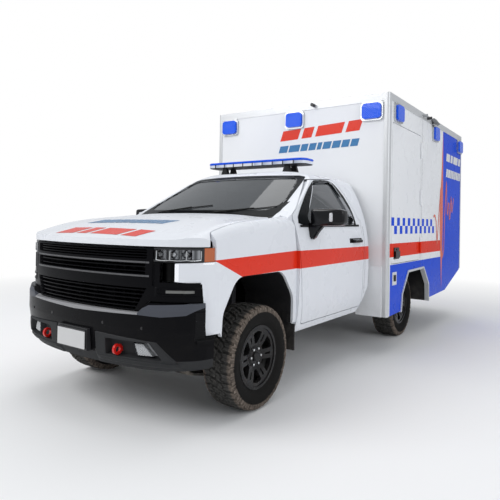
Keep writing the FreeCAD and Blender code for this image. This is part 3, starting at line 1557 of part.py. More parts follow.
def main():
    outer = cab_volume(0, 0, sill_z)
    inner = cab_volume(door_thickness, roof_thickness, floor_z)
    clip = clip_volume(0)
    fender = fender_left(clip)
    save("cab_shell", cab_shell(outer, inner, fender))
    save("cab_glass", cab_glass())
    door = door_left(outer, inner)
    glass = door_glass()
    mirror = mirror_left().cut(outer)
    save("door_right", mirrored(door))
    save("door_left", door)
    save("door_right_glass", mirrored(glass))
    save("door_left_glass", glass)
    save("mirror_right", mirrored(mirror))
    save("mirror_left", mirror)
    save("dashboard", dashboard())
    save("seats", seats())
    save("light_bar", light_bar(outer))
    save("hood", hood(clip, clip_volume(hood_skin)))
    save("front_fenders", both(fender))
    bumper = front_bumper()
    save("number_plate", number_plate(bumper))
    save("front_bumper", bumper)
    save("grille", grille())
    save("headlamps", headlamps())
    save("tow_hooks", both(tow_hook()))
    save("frame", frame())
    save("engine", engine())
    save("radiator", radiator())
    save("front_suspension", front_suspension())
    save("rear_axle", rear_axle())
    save("exhaust", exhaust())
    save("fuel_tank", fuel_tank())
    save("mudguards", mudguards())
    knuckle = knuckle_left()
    save("knuckle_right", mirrored(knuckle))
    save("knuckle_left", knuckle)
    for kind, shape in (("tyre", tyre()), ("rim", rim())):
        for place, y in (("front", 0.0), ("rear", wheelbase)):
            save(kind + "_" + place + "_right", moved(mirrored(shape), 0.0, y))
            save(kind + "_" + place + "_left", moved(shape, 0.0, y))
    save("box_left", box_left())
    save("box_right", box_right())
    save("box_front", box_front_wall())
    save("box_rear", box_rear_wall())
    save("box_roof", box_roof())
    save("box_floor", box_floor())
    save("box_frame", box_frame())
    save("locker_door", locker_door())
    save("side_door", side_door())
    save("side_door_glass", side_door_glass())
    leaf = rear_door_left()
    pane = rear_door_glass()
    save("rear_door_right", mirrored(leaf))
    save("rear_door_left", leaf)
    save("rear_door_right_glass", mirrored(pane))
    save("rear_door_left_glass", pane)
    save("warning_lamps", warning_lamps())
    save("warning_lenses", warning_lenses())
    save("tail_lamps", tail_lamps())
    save("rear_step", rear_step())
    save("cabinets", cabinets())
    save("roof_cameras", roof_cameras())


if __name__ == "__main__":
    main()
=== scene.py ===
import json
import math

import bmesh
import bpy
from mathutils import Matrix, Vector
from mathutils.bvhtree import BVHTree


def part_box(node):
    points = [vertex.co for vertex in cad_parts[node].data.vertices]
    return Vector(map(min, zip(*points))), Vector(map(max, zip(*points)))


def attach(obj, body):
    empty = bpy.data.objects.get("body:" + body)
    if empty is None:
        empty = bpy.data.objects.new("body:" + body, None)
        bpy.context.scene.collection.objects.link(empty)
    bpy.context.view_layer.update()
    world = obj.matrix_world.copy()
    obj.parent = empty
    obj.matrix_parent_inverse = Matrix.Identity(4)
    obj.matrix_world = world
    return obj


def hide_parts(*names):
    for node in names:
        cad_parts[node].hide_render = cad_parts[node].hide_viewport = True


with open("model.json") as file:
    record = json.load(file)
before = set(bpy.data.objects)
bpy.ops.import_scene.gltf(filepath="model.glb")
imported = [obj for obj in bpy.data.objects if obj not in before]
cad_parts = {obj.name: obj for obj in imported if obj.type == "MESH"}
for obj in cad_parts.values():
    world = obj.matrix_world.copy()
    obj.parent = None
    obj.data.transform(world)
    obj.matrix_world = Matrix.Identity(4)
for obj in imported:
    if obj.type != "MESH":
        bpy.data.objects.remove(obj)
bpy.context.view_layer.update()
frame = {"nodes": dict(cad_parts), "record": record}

# Finer pieces, finishes, livery and studio for an ambulance.
# Lengths are metres. X points to the vehicle's left, Y to its back, Z up.
# "far" is a distance from the vehicle's middle plane.

NODES = frame["nodes"]
SLOT_OF = {part["node"]: part["material_slot"] for part in frame["record"]["subparts"]}
HANDS = (("left", 1), ("right", -1))


def middle(node):
    low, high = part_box(node)
    return (low + high) / 2


# Places that the frame gives
WHEEL = middle("tyre_front_left")
TYRE_LOW, TYRE_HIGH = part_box("tyre_front_left")
TYRE_RADIUS = (TYRE_HIGH.z - TYRE_LOW.z) / 2
AXLE_Y = WHEEL.y
REAR_AXLE_Y = middle("tyre_rear_left").y
BOX_LOW, BOX_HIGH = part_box("box_frame")
BOX_HALF = BOX_HIGH.x
BOX_FRONT = BOX_LOW.y
BOX_BACK = BOX_HIGH.y
PLATE_LOW, PLATE_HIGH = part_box("number_plate")
SEAT_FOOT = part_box("seats")[0].z


def along(distance):
    """A place along the vehicle, counted back from the front axle."""
    return AXLE_Y + distance


# The camera that took the picture: its place, its turn in degrees and its lens
CAMERA_PLACE = (3.171, along(-3.271), 1.464)
CAMERA_YAW_DEG = 35.49
CAMERA_RISE_DEG = 0.47
CAMERA_ROLL_DEG = 1.01
CAMERA_LENS_MM = 36.1
CAMERA_SENSOR_MM = 36.0
CAMERA_SHIFT = (0.006, -0.0642)

# Colours
BLACK = (0.0, 0.0, 0.0)
WHITE = (0.80, 0.82, 0.86)
BOX_WHITE = (0.86, 0.87, 0.885)
RED = (0.78, 0.035, 0.012)
BLUE = (0.0, 0.068, 0.70)
ORANGE_RED = (0.80, 0.10, 0.03)
WORD_BLUE = (0.05, 0.20, 0.42)
BLACK_GLOSS = (0.004, 0.004, 0.005)
BLACK_SATIN = (0.014, 0.014, 0.016)
SATIN_GREY = (0.075, 0.08, 0.095)
SATIN_STRIP = (0.034, 0.035, 0.037)
SWOOSH_PALE = (0.30, 0.30, 0.31)
DUST = (0.36, 0.32, 0.27)
AMBER = (0.50, 0.13, 0.045)
GRIP_BLACK = (0.010, 0.010, 0.011)
CABIN_GREY = (0.05, 0.05, 0.055)
COWL_BLACK = (0.012, 0.012, 0.013)

# Livery of the box: heights, and places along it
BAND_Z = (1.091, 1.248)
SKIRT_BLUE_TOP = 1.005
CHECK_Z = (1.355, 1.547)
CHECK_Y = (along(2.292), along(4.040))
CHECK_COLUMNS = 18
PANEL_EDGE = along(4.455)
FACE_DEPTH = 0.03

# Livery of the cab: the band's upper and lower edge and its pointed start, as (place along, height)
CAB_BAND = ((along(-0.581), 1.194), (along(0.553), 1.222), (along(2.15), 1.217))
CAB_BAND_LOW = ((along(-0.255), 1.058), (along(0.553), 1.066), (along(2.15), 1.075))
CAB_BAND_TIP = (CAB_BAND[0], CAB_BAND_LOW[0], (along(0.2), 0.8))
CAB_BAND_FAR = 0.925

# A face whose x, in metres, times its outward direction's x stays over this doesn't look inward
INWARD_LIMIT = -0.3

# Door handle, cowl and cabin
HANDLE_Y = (along(1.622), along(1.936))
HANDLE_Z = (1.262, 1.312)
HANDLE_FAR = 0.94
COWL_LINE = ((0.0, 1.588), (0.60, 1.610), (0.84, 1.660))
COWL_FAR = 0.835
COWL_BACK = along(0.80)
COWL_LOW = 1.45
CABIN_FAR = 0.70
CABIN_TOP = 1.46

# The bumper's pale band, satin strips, fog lamps and ribbed corners, as (far, height)
SWOOSH_LOW = ((0.0, 0.808), (0.588, 0.823), (0.769, 0.817), (0.913, 0.832), (1.02, 0.905))
SWOOSH_TOP = ((0.0, 0.836), (0.597, 0.849), (0.679, 0.893), (1.02, 0.913))
SWOOSH_WING_X = 0.600
STRIP_TOP = ((0.0, 0.672), (0.250, 0.670), (0.738, 0.647), (0.919, 0.440))
STRIP_START_X = 0.225
VALANCE_TOP = 0.520
FOG_IN = ((0.538, 0.582), (0.622, 0.560))
FOG_OUT = ((0.538, 0.724), (0.622, 0.648))
FOG_Z = (0.538, 0.622)
CORNER_FRONT = along(-0.735)
CORNER_Z = (0.655, 0.850)

# Lamps
LAMP_LOW = 1.1835
LAMP_TOP = 1.279
LAMP_IN = 0.684
CELL_EDGES = (0.704, 0.790, 0.880, 0.942)
CELL_RIM = 0.006
CELL_LOW = 1.202
CELL_TOP = 1.264
AMBER_X = 0.950
DAY_X = (0.821, 0.843)
DAY_Z = (1.045, 1.180)
DAY_ARM_LOW = 1.166
DAY_ARM_FRONT = along(-0.790)
DAY_ARM_BACK = along(-0.568)
SIGNAL_X = (0.765, 0.925)
SIGNAL_Z = (0.973, 0.992)

# The side cameras' grey mounts
MOUNT_FAR = 1.20
MOUNT_Y = (along(3.32), along(3.52))

# The black that runs over the fender's front edge
TONGUE_LOW = 1.035
LEG_EDGE = ((0.560, along(-0.620)), (TONGUE_LOW, along(-0.663)))

# The light bar's stretch of plain lens, and the grille's satin bars
BAR_PLAIN_X = (-0.36, 0.02)
BAR_X = 0.652
BAR_ZS = ((1.0775, 1.0895), (1.1705, 1.1825))

# Finishes

NOISE_SPAN = (0.3, 0.7)
DUST_Z = (0.3, 0.9)
SURFACE_INPUTS = {"colour": "Base Color", "metallic": "Metallic", "roughness": "Roughness",
                  "coat": "Coat Weight", "coat_roughness": "Coat Roughness", "alpha": "Alpha",
                  "specular": "Specular IOR Level", "sheen": "Sheen Weight", "glow": "Emission Color",
                  "glow_strength": "Emission Strength"}


def is_socket(value):
    return isinstance(value, bpy.types.NodeSocket)


class Shade:
    """A material's node tree, with short calls for sums, masks and colours."""

    def __init__(self, name):
        self.material = bpy.data.materials.new(name)
        self.material.use_nodes = True
        self.tree = self.material.node_tree
        self.tree.nodes.clear()
        self.output = self.tree.nodes.new("ShaderNodeOutputMaterial")
        self.surface = self.tree.nodes.new("ShaderNodeBsdfPrincipled")
        self.tree.links.new(self.surface.outputs[0], self.output.inputs[0])
        self.coordinates = self.tree.nodes.new("ShaderNodeTexCoord")
        self.x, self.y, self.z = self.parts_of("Object")

    def parts_of(self, output):
        split = self.tree.nodes.new("ShaderNodeSeparateXYZ")
        self.tree.links.new(self.coordinates.outputs[output], split.inputs[0])
        return split.outputs

    def link(self, value, socket):
        if is_socket(value):
            self.tree.links.new(value, socket)
        else:
            socket.default_value = value

    def link_colour(self, value, socket):
        self.link(value if is_socket(value) else (*value, 1.0), socket)

    def math(self, operation, *values):
        node = self.tree.nodes.new("ShaderNodeMath")
        node.operation = operation
        for value, socket in zip(values, node.inputs):
            self.link(value, socket)
        return node.outputs[0]

    def plus(self, a, b):
        return self.math("ADD", a, b)

    def minus(self, a, b):
        return self.math("SUBTRACT", a, b)

    def times(self, a, b):
        return self.math("MULTIPLY", a, b)

    def over(self, value, limit):
        return self.math("GREATER_THAN", value, limit)

    def under(self, value, limit):
        return self.math("LESS_THAN", value, limit)

    def span(self, value, limits):
        return self.every(self.over(value, limits[0]), self.under(value, limits[1]))

    def far(self):
        return self.math("ABSOLUTE", self.x)

    def wave(self, value, turns):
        """A sine wave, with the radians that it turns in each metre."""
        return self.math("SINE", self.times(value, turns))

    def every(self, *masks):
        whole = masks[0]
        for mask in masks[1:]:
            whole = self.times(whole, mask)
        return whole

    def either(self, *masks):
        whole = masks[0]
        for mask in masks[1:]:
            whole = self.math("MAXIMUM", whole, mask)
        return whole

    def outward(self):
        """Where a face doesn't look in to the vehicle's middle plane."""
        normal = self.parts_of("Normal")
        return self.over(self.times(self.x, normal[0]), INWARD_LIMIT)

    def line_height(self, across, points):
        """The height of a line through (across, height) points, at each place."""
        whole = None
        for (a, low), (b, high) in zip(points, points[1:]):
            slope = (high - low) / (b - a)
            height = self.math("MULTIPLY_ADD", self.minus(across, a), slope, low)
            if whole is None:
                whole = height
            else:
                whole = self.plus(whole, self.times(self.minus(height, whole), self.over(across, a)))
        return whole

    def noise(self, scale, detail=3.0, stretch=None, roughness=0.5):
        node = self.tree.nodes.new("ShaderNodeTexNoise")
        for name, value in (("Scale", scale), ("Detail", detail), ("Roughness", roughness)):
            node.inputs[name].default_value = value
        place = self.coordinates.outputs["Object"]
        if stretch:
            mapping = self.tree.nodes.new("ShaderNodeMapping")
            mapping.inputs["Scale"].default_value = stretch
            self.tree.links.new(place, mapping.inputs[0])
            place = mapping.outputs[0]
        self.tree.links.new(place, node.inputs["Vector"])
        return node.outputs["Fac"]

    def remap(self, value, low, high, to_low, to_high):
        node = self.tree.nodes.new("ShaderNodeMapRange")
        for entry, socket in zip((value, low, high, to_low, to_high), node.inputs):
            self.link(entry, socket)
        return node.outputs[0]

    def drift(self, low, high, *noise, **more):
        """A value that drifts between two limits over the surface."""
        return self.remap(self.noise(*noise, **more), *NOISE_SPAN, low, high)

    def mix(self, share, low, high):
        node = self.tree.nodes.new("ShaderNodeMix")
        node.data_type = "RGBA"
        self.link(share, node.inputs[0])
        self.link_colour(low, node.inputs[6])
        self.link_colour(high, node.inputs[7])
        return node.outputs[2]

    def marked(self, colour, marks):
        """A colour with other colours laid over it by their masks."""
        for mask, mark_colour in marks:
            colour = self.mix(mask, colour, mark_colour)
        return colour

    def set(self, **inputs):
        for key, value in inputs.items():
            put = self.link_colour if key in ("colour", "glow") else self.link
            put(value, self.surface.inputs[SURFACE_INPUTS[key]])
        return self

    def bump(self, height, strength, distance):
        """Puts a bump on the surface, and gives the finished material."""
        node = self.tree.nodes.new("ShaderNodeBump")
        node.inputs["Strength"].default_value = strength
        node.inputs["Distance"].default_value = distance
        self.link(height, node.inputs["Height"])
        self.tree.links.new(node.outputs[0], self.surface.inputs["Normal"])
        return self.material


def worn(shade, colour, dust=0.10):
    """A finish with slight colour drift, and road dust that thins out upwards."""
    base = shade.mix(shade.drift(0.975, 1.01, 1.1, 1.0), BLACK, colour)
    low = shade.remap(shade.z, *DUST_Z, dust, 0.0)
    speckle = shade.remap(shade.noise(9.0, 5.0, roughness=0.7), 0.35, 0.75, 0.0, 2.0)
    return shade.mix(shade.times(low, speckle), base, DUST)


def paint(name, colour, marks, coat=0.08, specular=0.22):
    """Gloss vehicle paint with masked marks over its base, of which the black ones are less bright."""
    shade = Shade(name)
    laid = marks(shade)
    for mask, mark_colour in laid:
        if max(mark_colour) < 0.02:
            specular = shade.remap(mask, 0.0, 1.0, specular, 0.09)
            coat = shade.remap(mask, 0.0, 1.0, coat, 0.0)
    shade.set(colour=worn(shade, shade.marked(colour, laid)), roughness=shade.drift(0.26, 0.31, 5.0, 2.0),
              coat=coat, coat_roughness=0.06, specular=specular)
    return shade.bump(shade.noise(2.2, 1.0), 0.02, 0.02)


def cab_marks(shade):
    under_top = shade.under(shade.z, shade.line_height(shade.y, CAB_BAND))
    over_low = shade.over(shade.z, shade.line_height(shade.y, CAB_BAND_LOW))
    over_tip = shade.over(shade.z, shade.line_height(shade.y, CAB_BAND_TIP))
    band = shade.every(under_top, over_low, over_tip, shade.over(shade.y, CAB_BAND[0][0]),
                       shade.over(shade.far(), CAB_BAND_FAR), shade.outward())
    return [(band, RED)]


def door_marks(shade):
    grip = shade.every(shade.over(shade.far(), HANDLE_FAR), shade.span(shade.z, HANDLE_Z),
                       shade.span(shade.y, HANDLE_Y))
    return cab_marks(shade) + [(grip, GRIP_BLACK)]


def fender_marks(shade):
    """The black grille runs a little way over the fender's front edge."""
    tongue = shade.every(shade.under(shade.far(), DAY_X[0]), shade.over(shade.z, TONGUE_LOW))
    edge = shade.line_height(shade.z, LEG_EDGE)
    leg = shade.every(shade.under(shade.y, edge), shade.under(shade.z, TONGUE_LOW))
    return cab_marks(shade) + [(shade.either(tongue, leg), BLACK)]


def shell_marks(shade):
    far = shade.far()
    cowl = shade.every(shade.under(far, COWL_FAR), shade.under(shade.y, COWL_BACK),
                       shade.under(shade.z, shade.line_height(far, COWL_LINE)), shade.over(shade.z, COWL_LOW))
    cabin = shade.every(shade.under(far, CABIN_FAR), shade.under(shade.z, CABIN_TOP))
    return cab_marks(shade) + [(cabin, CABIN_GREY), (cowl, COWL_BLACK)]


def box_marks(shade):
    side = shade.over(shade.far(), BOX_HALF - FACE_DEPTH)
    back = shade.over(shade.y, BOX_BACK - FACE_DEPTH)
    band = shade.span(shade.z, BAND_Z)
    skirt = shade.under(shade.z, SKIRT_BLUE_TOP)
    step = (CHECK_Y[1] - CHECK_Y[0]) / CHECK_COLUMNS
    column = shade.math("FLOOR", shade.math("DIVIDE", shade.minus(shade.y, CHECK_Y[0]), step))
    row = shade.over(shade.z, sum(CHECK_Z) / 2)
    odd = shade.math("FLOORED_MODULO", shade.plus(column, row), 2.0)
    checks = shade.every(side, shade.over(odd, 0.5), shade.span(shade.z, CHECK_Z),
                         shade.span(shade.y, CHECK_Y))
    low_blue = shade.every(side, skirt, shade.over(shade.y, CHECK_Y[0] - 0.02))
    panel = shade.every(side, shade.over(shade.y, PANEL_EDGE))
    red = shade.every(side, band, shade.under(shade.y, PANEL_EDGE))
    blue = shade.either(checks, low_blue, panel, shade.every(back, skirt))
    return [(blue, BLUE), (shade.either(red, shade.every(back, band)), RED)]


def coated(name, colour, roughness, bump=0.0, grain=60.0, coat=0.0, metallic=0.0, dust=0.10, specular=0.25):
    """A plain coated or moulded surface with grain, slight drift and dust."""
    shade = Shade(name)
    rough = shade.drift(roughness * 0.85, roughness * 1.15, grain / 4, 4.0)
    shade.set(colour=worn(shade, colour, dust), metallic=metallic, coat=coat, coat_roughness=0.08,
              specular=specular, roughness=rough)
    if bump:
        shade.bump(shade.noise(grain, 2.0), bump, 0.002)
    return shade.material


def chequer(name):
    """Aluminium tread plate with small crossed lozenges."""
    shade = Shade(name)
    runs = [shade.plus(shade.times(shade.x, way), shade.y) for way in (1.0, -1.0)]
    height = shade.times(*(shade.wave(run, 130.0) for run in runs))
    shade.set(colour=worn(shade, (0.52, 0.53, 0.55)), metallic=0.9, roughness=shade.drift(0.3, 0.5, 30.0))
    return shade.bump(height, 0.6, 0.002)


def glass(name, colour, alpha, roughness=0.02):
    """Tinted glass with faint streaks."""
    shade = Shade(name)
    streak = shade.noise(6.0, 3.0, (1.0, 1.0, 0.3))
    shade.set(colour=shade.mix(shade.remap(streak, *NOISE_SPAN, 0.8, 1.0), BLACK, colour),
              roughness=shade.remap(streak, *NOISE_SPAN, roughness, roughness * 2.5), alpha=alpha,
              specular=0.7, coat=0.5, coat_roughness=0.02)
    return shade.material


def lens(name, colour, glow=0.0, ribs=0.0):
    """A coloured lamp lens with moulded ribs behind a clear gloss face."""
    shade = Shade(name)
    cells = shade.times(shade.wave(shade.z, 260.0), shade.wave(shade.plus(shade.x, shade.y), 260.0))
    facet = shade.remap(cells, -1.0, 1.0, 0.75, 1.0)
    shade.set(colour=shade.mix(facet, BLACK, colour), roughness=0.14, coat=0.25, coat_roughness=0.03,
              specular=0.35, glow=colour, glow_strength=glow)
    if ribs:
        shade.bump(cells, ribs, 0.002)
    return shade.material


def chrome(name, colour, roughness):
    shade = Shade(name)
    shade.set(colour=worn(shade, colour, 0.05), metallic=1.0,
              roughness=shade.drift(roughness, roughness * 1.8, 25.0, 4.0))
    return shade.material


def wheel_radius(shade):
    """The distance from the nearer axle, at each place."""
    run = shade.math("ABSOLUTE", shade.minus(shade.y, (AXLE_Y + REAR_AXLE_Y) / 2))
    run = shade.minus(run, (REAR_AXLE_Y - AXLE_Y) / 2)
    height = shade.minus(shade.z, WHEEL.z)
    return shade.math("SQRT", shade.plus(shade.times(run, run), shade.times(height, height)))


def rubber(name):
    """Tyre rubber, brown with dried dust on its shoulders and grey on the tread."""
    shade = Shade(name)
    geometry = shade.tree.nodes.new("ShaderNodeNewGeometry")
    worn_edge = shade.remap(geometry.outputs["Pointiness"], 0.49, 0.56, 0.0, 1.0)
    speckle = shade.drift(0.25, 1.0, 38.0, 6.0, roughness=0.75)
    lugs = shade.remap(wheel_radius(shade), 0.350, 0.358, 0.0, 1.0)
    dusty = shade.times(shade.plus(shade.times(worn_edge, 0.35), 0.5), speckle)
    dusty = shade.plus(shade.times(dusty, lugs), 0.01)
    from_middle = shade.math("ABSOLUTE", shade.minus(shade.far(), WHEEL.x))
    shoulder = shade.remap(from_middle, 0.098, 0.112, 0.0, 1.0)
    tan = shade.mix(shoulder, (0.135, 0.130, 0.122), (0.33, 0.27, 0.225))
    shade.set(colour=shade.mix(dusty, (0.008, 0.008, 0.008), tan), roughness=0.85, specular=0.12)
    return shade.bump(shade.noise(90.0, 4.0), 0.35, 0.002)


def fabric(name, colour):
    shade = Shade(name)
    weave = [shade.wave(axis, 1400.0) for axis in (shade.x, shade.y, shade.z)]
    shade.set(colour=worn(shade, colour, 0.0), roughness=0.9, sheen=0.3)
    return shade.bump(shade.times(shade.plus(weave[0], weave[1]), weave[2]), 0.4, 0.001)


def nose_gloss(shade, marks, roughness=0.2):
    """Black nose plastic whose masks give other finishes: (mask, colour, roughness)."""
    colour = shade.marked(BLACK_GLOSS, [(mask, mark_colour) for mask, mark_colour, rough in marks])
    for mask, mark_colour, rough in marks:
        roughness = shade.remap(mask, 0.0, 1.0, roughness, rough)
    shade.set(colour=worn(shade, colour, 0.01), specular=0.06,
              roughness=shade.times(roughness, shade.drift(0.9, 1.15, 18.0, 4.0)))
    return shade.material


def bumper_paint(name):
    """Gloss black bumper with the pale band along its top, satin strips and ribbed corners."""
    shade = Shade(name)
    far = shade.far()
    swoosh = shade.every(shade.over(shade.z, shade.line_height(far, SWOOSH_LOW)),
                         shade.under(shade.z, shade.line_height(far, SWOOSH_TOP)))
    wing = shade.every(swoosh, shade.over(far, SWOOSH_WING_X))
    under_strip = shade.under(shade.z, shade.line_height(far, STRIP_TOP))
    strip = shade.every(under_strip, shade.over(far, STRIP_START_X))
    valance = shade.under(shade.z, VALANCE_TOP)
    corner = shade.every(shade.over(shade.y, CORNER_FRONT), shade.span(shade.z, CORNER_Z))
    fog = shade.every(shade.span(shade.z, FOG_Z), shade.over(far, shade.line_height(shade.z, FOG_IN)),
                      shade.under(far, shade.line_height(shade.z, FOG_OUT)))
    nose_gloss(shade, [(shade.either(strip, valance), SATIN_STRIP, 0.5), (swoosh, SWOOSH_PALE, 0.35),
                       (wing, SATIN_GREY, 0.32), (corner, (0.010, 0.010, 0.011), 0.6),
                       (fog, (0.52, 0.53, 0.54), 0.2)])
    return shade.bump(shade.times(shade.wave(shade.z, 420.0), corner), 0.6, 0.003)


def grille_paint(name):
    """Gloss black grille with two satin bars and the two turn signals."""
    shade = Shade(name)
    far = shade.far()
    bars = shade.every(shade.under(far, BAR_X), shade.either(*(shade.span(shade.z, zs) for zs in BAR_ZS)))
    signal = shade.every(shade.span(shade.z, SIGNAL_Z), shade.span(far, SIGNAL_X))
    return nose_gloss(shade, [(bars, (0.12, 0.12, 0.125), 0.25), (signal, (0.22, 0.22, 0.21), 0.2)], 0.22)


def headlamp_paint(name):
    """Headlamp housings: three silver cells and an amber corner."""
    shade = Shade(name)
    far = shade.far()
    ends = zip(CELL_EDGES, CELL_EDGES[1:])
    cells = [shade.span(far, (start + CELL_RIM, end - CELL_RIM)) for start, end in ends]
    bright = shade.every(shade.either(*cells), shade.span(shade.z, (CELL_LOW, CELL_TOP)))
    amber = shade.every(shade.over(shade.z, LAMP_LOW), shade.over(far, AMBER_X))
    fan = shade.remap(shade.wave(far, 190.0), -1.0, 1.0, 0.0, 1.0)
    silver = shade.mix(fan, (0.10, 0.105, 0.11), (0.42, 0.43, 0.45))
    shade.set(colour=shade.marked((0.012, 0.012, 0.014), [(bright, silver), (amber, AMBER)]),
              metallic=shade.times(bright, 0.6), roughness=0.16, coat=0.5, coat_roughness=0.04)
    return shade.bump(shade.noise(60.0), 0.1, 0.001)


def bar_lens(name):
    """Clear ribbed lenses with light units behind them."""
    shade = Shade(name)
    unit = shade.math("FLOORED_MODULO", shade.times(shade.x, 7.6), 1.0)
    clear = shade.mix(unit, (0.35, 0.40, 0.52), (0.80, 0.84, 0.92))
    plain = shade.span(shade.x, BAR_PLAIN_X)
    shade.set(colour=shade.mix(plain, clear, (0.74, 0.76, 0.80)), roughness=0.14, coat=0.5,
              coat_roughness=0.04)
    return shade.bump(shade.wave(shade.x, 300.0), 0.3, 0.002)


def camera_paint(name):
    """Black side cameras and their grey mounts."""
    shade = Shade(name)
    mount = shade.every(shade.over(shade.far(), MOUNT_FAR), shade.span(shade.y, MOUNT_Y))
    shade.set(colour=worn(shade, shade.mix(mount, BLACK_SATIN, (0.34, 0.35, 0.36)), 0.0), roughness=0.4)
    return shade.bump(shade.noise(300.0), 0.2, 0.001)


def plate_paint(name):
    """Bare pale plate on its black holder."""
    shade = Shade(name)
    face = shade.every(shade.under(shade.y, PLATE_LOW.y + 0.004),
                       shade.span(shade.z, (PLATE_LOW.z + 0.012, PLATE_HIGH.z - 0.022)),
                       shade.under(shade.far(), PLATE_HIGH.x - 0.008))
    shade.set(colour=shade.mix(face, (0.02, 0.02, 0.022), (0.58, 0.58, 0.58)), roughness=0.42)
    return shade.bump(shade.noise(120.0), 0.05, 0.001)


def make_materials():
    return {
        "white_paint": paint("cab_paint", WHITE, cab_marks),
        "door_paint": paint("door_paint", WHITE, door_marks),
        "fender_paint": paint("fender_paint", WHITE, fender_marks),
        "shell_paint": paint("shell_paint", WHITE, shell_marks),
        "box_paint": paint("box_paint", BOX_WHITE, box_marks, 0.0, 0.05),
        "bumper_paint": bumper_paint("bumper_paint"),
        "grille_paint": grille_paint("grille_paint"),
        "headlamp_paint": headlamp_paint("headlamp_paint"),
        "camera_paint": camera_paint("camera_paint"),
        "plate_paint": plate_paint("plate_paint"),
        "trim_aluminium": coated("extrusion_paint", (0.66, 0.67, 0.68), 0.34, 0.04, 200.0, metallic=0.35),
        "deck": coated("deck_metal", (0.30, 0.31, 0.32), 0.5, 0.2, 120.0, metallic=0.5),
        "cabinet_white": coated("cabinet_white", (0.72, 0.72, 0.71), 0.35, 0.05),
        "box_white": coated("plate_white", (0.74, 0.75, 0.76), 0.35),
        "black_gloss": coated("black_gloss", BLACK_GLOSS, 0.16, coat=0.15, dust=0.0, specular=0.3),
        "surround_black": coated("surround_black", (0.008, 0.009, 0.010), 0.30, dust=0.0, specular=0.06),
        "black_steel": coated("black_steel", (0.012, 0.012, 0.012), 0.55, 0.3, 80.0, dust=0.5),
        "black_plastic": coated("black_plastic", BLACK_SATIN, 0.52, 0.35, 700.0, dust=0.12),
        "rubber_black": coated("rubber_black", (0.010, 0.010, 0.010), 0.6, 0.2, 300.0),
        "rim_black": coated("rim_black", (0.008, 0.008, 0.009), 0.24, coat=0.05, dust=0.03, specular=0.18),
        "red_paint": coated("red_hook", (0.62, 0.012, 0.008), 0.3, coat=0.5, dust=0.0),
        "cast_grey": coated("cast_grey", (0.10, 0.10, 0.10), 0.6, 0.5, 150.0, metallic=0.4),
        "exhaust_steel": coated("exhaust_steel", (0.25, 0.22, 0.19), 0.5, 0.3, 60.0, metallic=0.8),
        "sensor_grey": coated("sensor_grey", (0.025, 0.025, 0.028), 0.35),
        "seam_grey": coated("seam_grey", (0.16, 0.16, 0.17), 0.6),
        "flood_grey": coated("flood_grey", (0.20, 0.205, 0.21), 0.4, dust=0.0),
        "mark_red": coated("mark_red", RED, 0.3, coat=0.4),
        "mark_blue": coated("mark_blue", WORD_BLUE, 0.3, coat=0.4),
        "mark_white": coated("mark_white", (0.80, 0.81, 0.83), 0.3, coat=0.4),
        "mark_orange": coated("mark_orange", ORANGE_RED, 0.3, coat=0.4),
        "tinted_glass": glass("tinted_glass", (0.055, 0.062, 0.068), 0.80),
        "bezel_chrome": chrome("bezel_chrome", (0.60, 0.61, 0.62), 0.22),
        "mirror_glass": chrome("mirror_glass", (0.50, 0.52, 0.55), 0.05),
        "blue_lens": lens("blue_lens", (0.0, 0.095, 0.80), 0.15, 0.5),
        "red_lens": lens("red_lens", (0.55, 0.01, 0.008), 0.0, 0.5),
        "bar_blue": lens("bar_blue", (0.0, 0.085, 0.75), 0.15, 0.2),
        "bar_clear": bar_lens("bar_lens"),
        "day_lamp": lens("day_lamp", (0.88, 0.89, 0.92), 0.30),
        "lamp_white": lens("lamp_white", (0.70, 0.71, 0.73), 0.0, 0.3),
        "tread_aluminium": chequer("tread_aluminium"),
        "seat_fabric": fabric("seat_fabric", (0.06, 0.06, 0.065)),
        "tyre": rubber("tyre_rubber"),
    }


MATERIALS = make_materials()
OWN_MATERIAL = {"front_bumper": "bumper_paint", "grille": "grille_paint", "headlamps": "headlamp_paint",
                "roof_cameras": "camera_paint", "front_fenders": "fender_paint", "door_left": "door_paint",
                "door_right": "door_paint", "cab_shell": "shell_paint", "number_plate": "plate_paint"}


def dress_nodes():
    for name, node in NODES.items():
        node.data.materials.clear()
        node.data.materials.append(MATERIALS[OWN_MATERIAL.get(name, SLOT_OF[name])])


# Meshes


def swept_faces(start, count, wide, closed):
    """Faces between rings of points, each as many points wide, and two end faces unless it is closed."""
    faces = []
    for i in range(count if closed else count - 1):
        here, after = start + i * wide, start + (i + 1) % count * wide
        for k in range(wide):
            beside = (k + 1) % wide
            faces.append((here + k, here + beside, after + beside, after + k))
    if not closed:
        last = start + (count - 1) * wide
        faces += [tuple(range(start, start + wide))[::-1], tuple(range(last, last + wide))]
    return faces


def circle(centre, side, other, radius, sides):
    turns = [2 * math.pi * i / sides for i in range(sides)]
    return [centre + (side * math.cos(turn) + other * math.sin(turn)) * radius for turn in turns]


